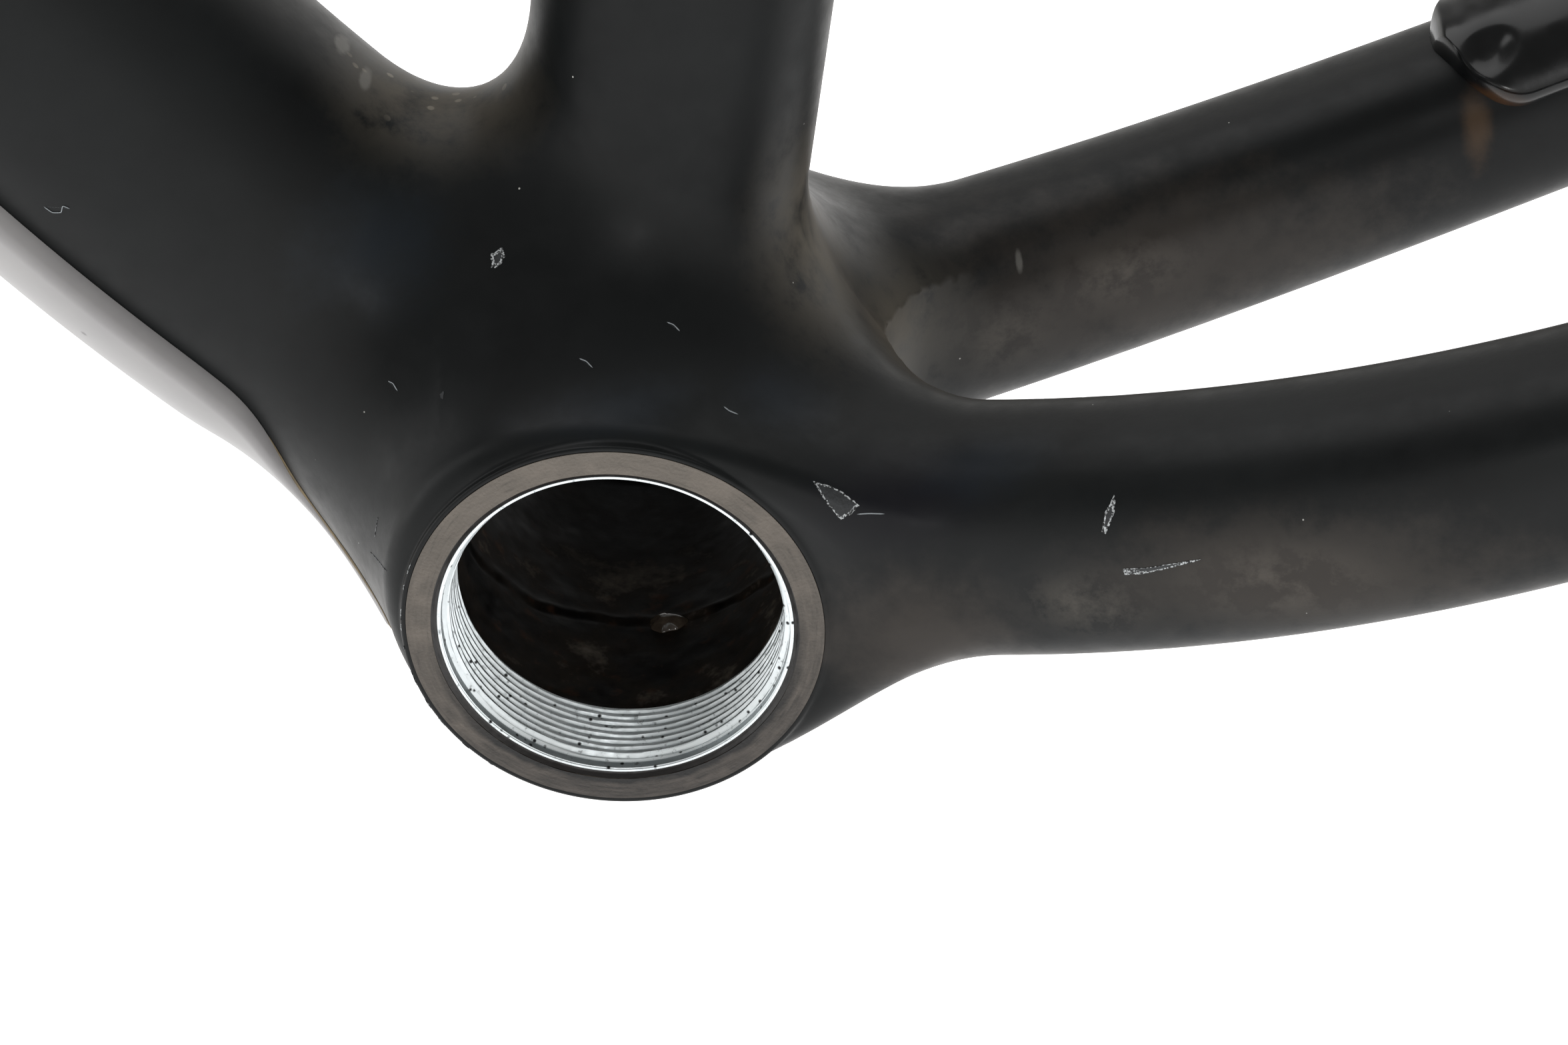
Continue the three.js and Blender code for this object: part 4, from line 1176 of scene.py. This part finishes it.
def chip(name, corners, white_from=0.78):
    """A flaked patch of the skin inside some corners; white_from sets how wide its rim is."""
    corners = np.array(corners, float)
    at_corner = np.arange(len(corners) + 1)
    walk = np.linspace(0, len(corners), CHIP_SIDES, endpoint=False)
    closed = np.concatenate([corners, corners[:1]])
    edge = np.stack([np.interp(walk, at_corner, closed[:, k]) for k in range(3)], -1)
    middle = corners.mean(0)
    size = np.linalg.norm(edge - middle, axis=1)[:, None]
    wobble = lumps(edge, 0.45, 12) + 0.6 * lumps(edge, 0.2, 13)
    edge = edge + (edge - middle) / size * (CHIP_RAGGED * wobble)[:, None]
    reach = np.array(CHIP_RINGS)[:, None, None]
    top = on_skin(middle + (edge - middle) * reach, CHIP_TOP)
    under = on_skin(middle + (edge - middle) * reach[::-1], CHIP_BOTTOM)
    grid = wrapped_grid(2 * len(CHIP_RINGS), CHIP_SIDES)
    piece = new_mesh(name, np.concatenate([top, under]), grid)
    piece.data.materials.append(chip_floor)
    piece.data.materials.append(cracked_coat)
    rim = np.repeat(np.array((*CHIP_RINGS, *CHIP_RINGS[::-1])) > white_from, CHIP_SIDES)
    piece.data.polygons.foreach_set("material_index", rim.astype(int))
    own(piece, slot="painted_carbon")


chip("chip_leaf", [
    (22.2, -33.0, 14.2), (23.8, -33.1, 13.6), (24.9, -33.4, 12.9), (26.3, -33.8, 11.3),
    (25.3, -34.2, 10.7), (24.3, -34.4, 10.3), (23.5, -34.0, 11.6), (22.7, -33.5, 12.8),
])
chip("chip_down_tube", [
    (-6.2, -15.4, 34.6), (-6.0, -16.2, 33.9), (-6.9, -17.1, 33.2), (-7.6, -17.0, 33.2),
    (-7.4, -15.9, 34.2),
], 0.5)
chip("chip_stay", [
    (51.0, -37.2, 11.4), (50.9, -38.2, 10.0), (49.7, -39.0, 8.2), (49.3, -38.8, 8.3),
    (49.8, -38.2, 9.9),
], 0.5)
chip("scratch_stay", [
    (50.9, -39.9, 3.9), (52.8, -40.4, 4.1), (54.8, -40.9, 4.6), (57.6, -41.5, 5.5),
    (58.4, -41.6, 5.8), (57.2, -41.4, 5.6), (54.7, -40.8, 5.1), (52.8, -40.4, 4.7),
    (51.0, -39.9, 4.6),
], 0.3)
chip("nick_dark", [(-13.9, -25.8, 24.9), (-13.3, -25.5, 24.8), (-13.4, -25.9, 24.3)], 1.0)
chip("scratch_left_upper", [(-22.3, -28.8, 13.3), (-22.6, -28.7, 12.2), (-23.0, -28.8, 11.1)], 0.9)
chip("scratch_left_lower", [(-24.2, -28.0, 8.8), (-22.9, -30.3, 8.9), (-21.9, -32.1, 8.9)], 0.3)

# Small flakes broken off the coat's edge along the left of the ring.
for turn in (152, 158, 167, 171, 178, 186, 189, 197, 204, 214, 223):
    a = math.radians(turn)
    wide = math.radians(0.5 + (turn * 7 % 5) * 0.35)
    edge_at = [(r * math.cos(b), -34, r * math.sin(b)) for r, b in (
        (21.5, a - wide), (21.5, a + wide), (21.8, a),
    )]
    chip("edge_flake_%d" % turn, edge_at, 0.2)

# Textile lint and hairs: fine grey fibres, a twentieth of a millimetre thick.
lint = new_material("cotton_fibre")
finish_with(lint, Base_Color=linear("#9aa0a4"), Roughness=0.8)


def fibre(name, path, radius=0.05):
    """A hair along some points, lying on the skin."""
    path = np.array(path, float)
    walk = np.linspace(0, len(path) - 1, 8 * len(path))
    line = np.stack([np.interp(walk, np.arange(len(path)), path[:, k]) for k in range(3)], -1)
    for _ in range(3):
        line[1:-1] = (line[:-2] + line[1:-1] + line[2:]) / 3
    line = on_skin(line, radius)
    up = slope_of(skin_field, line)
    ahead = np.gradient(line, axis=0)
    side = np.cross(ahead, up)
    side /= np.linalg.norm(side, axis=1)[:, None] + 1e-9
    thick = radius * np.clip(np.minimum(walk, walk[::-1]) * 4, 0.05, 1)[:, None, None]
    around = np.radians(np.arange(6) * 60)[None, :, None]
    points = line[:, None] + thick * (np.cos(around) * up[:, None] + np.sin(around) * side[:, None])
    strand = new_mesh(name, points, wrapped_grid(len(line), 6))
    smooth(strand, 80)
    strand.data.materials.append(lint)
    own(strand, slot="painted_carbon")


fibre("whisker_leaf", [(25.9, -34.2, 10.6), (27.2, -34.2, 10.5), (28.6, -34.1, 10.2)], 0.06)
fibre("hair_down_tube", [
    (-49.2, -19.0, 47.2), (-48.6, -19.4, 46.4), (-47.6, -19.2, 46.4), (-47.2, -19.0, 47.2),
    (-46.6, -19.2, 46.8),
])
fibre("lint_shell", [(9.0, -20.6, 26.6), (9.7, -20.8, 26.4), (10.3, -21.3, 25.9)])
fibre("lint_upper", [(0.6, -24.9, 26.4), (1.3, -25.2, 26.2), (1.9, -25.8, 25.7)])
fibre("lint_root", [(14.2, -27.6, 20.7), (14.7, -27.9, 20.3), (15.5, -28.0, 19.8)])
fibre("lint_left", [(-19.1, -23.2, 25.5), (-18.6, -23.4, 25.3), (-18.2, -24.0, 24.7)])

# ---------------------------------------------------------------- studio
# The part hangs over a plain white light table. The room is white round the horizon and dark
# overhead, with a soft box above and behind, one at the left and a small lamp by the lens.

TABLE_AT = -0.22
TABLE_REACH = 5.0
TABLE_LIGHT = 0.95

# Opal acrylic, lit from beneath.
table_mesh = bpy.data.meshes.new("light_table")
corners = [(-1, -1), (1, -1), (1, 1), (-1, 1)]
table_mesh.from_pydata(
    [(x * TABLE_REACH, y * TABLE_REACH, TABLE_AT) for x, y in corners], [], [(0, 1, 2, 3)]
)
table = bpy.data.objects.new("light_table", table_mesh)
bpy.context.scene.collection.objects.link(table)
opal_acrylic = new_material("acrylic_sheet_opal")
finish_with(
    opal_acrylic, Base_Color=linear("#f4f4f4"), Roughness=0.9, Specular_IOR_Level=0.2,
    Emission_Color=linear("#ffffff"), Emission_Strength=TABLE_LIGHT,
)
table_mesh.materials.append(opal_acrylic)

HORIZON_LIGHT = 1.15
CEILING_LIGHT = 0.22

world = bpy.data.worlds.new("studio")
bpy.context.scene.world = world
world.use_nodes = True
world.node_tree.nodes.clear()
up = put(world, "SeparateXYZ", {0: put(world, "TexCoord", {}).outputs["Generated"]}).outputs["Z"]
level = put(
    world, "MapRange",
    {"Value": up, "From Min": 0.02, "From Max": 0.5, "To Min": HORIZON_LIGHT, "To Max": CEILING_LIGHT},
    interpolation_type="SMOOTHSTEP",
).outputs[0]
sky = put(world, "Background", {"Color": linear("#fffefb"), "Strength": level})
put(world, "OutputWorld", {"Surface": sky.outputs[0]})


def soft_box(name, place, towards, size, watts):
    light = bpy.data.lights.new(name, "AREA")
    light.shape = "RECTANGLE"
    light.size, light.size_y = size
    light.energy = watts
    lamp = bpy.data.objects.new(name, light)
    bpy.context.scene.collection.objects.link(lamp)
    lamp.location = place
    lamp.rotation_euler = (Vector(towards) - Vector(place)).to_track_quat("-Z", "Y").to_euler()


soft_box("overhead", (0.1, 0.6, 1.3), (0, 0, 0), (1.6, 1.2), 8)
soft_box("left_strip", (-0.9, -0.1, 0.5), (0, 0, 0), (0.3, 0.9), 2)
soft_box("small_front", (0.05, -0.75, 0.35), (0, -0.02, 0), (0.06, 0.06), 0.5)

# A long lens, about 30 degrees above the bore and a little to its front.
CAMERA_AT = (0.05315, -0.30934, 0.18432)
CAMERA_RIGHT = (0.9879, 0.0270, -0.1529)
CAMERA_BACK = (0.1052, -0.8409, 0.5309)

camera_data = bpy.data.cameras.new("camera")
camera_data.lens = 77.0
camera_data.sensor_width = 36.0
camera_data.clip_start = 0.01
camera = bpy.data.objects.new("camera", camera_data)
right = Vector(CAMERA_RIGHT).normalized()
back = Vector(CAMERA_BACK).normalized()
over = back.cross(right).normalized()
rows = [(right[i], over[i], back[i], CAMERA_AT[i]) for i in range(3)]
camera.matrix_world = Matrix([*rows, (0, 0, 0, 1)])
bpy.context.scene.collection.objects.link(camera)
bpy.context.scene.camera = camera
bpy.context.scene.view_settings.view_transform = "Standard"
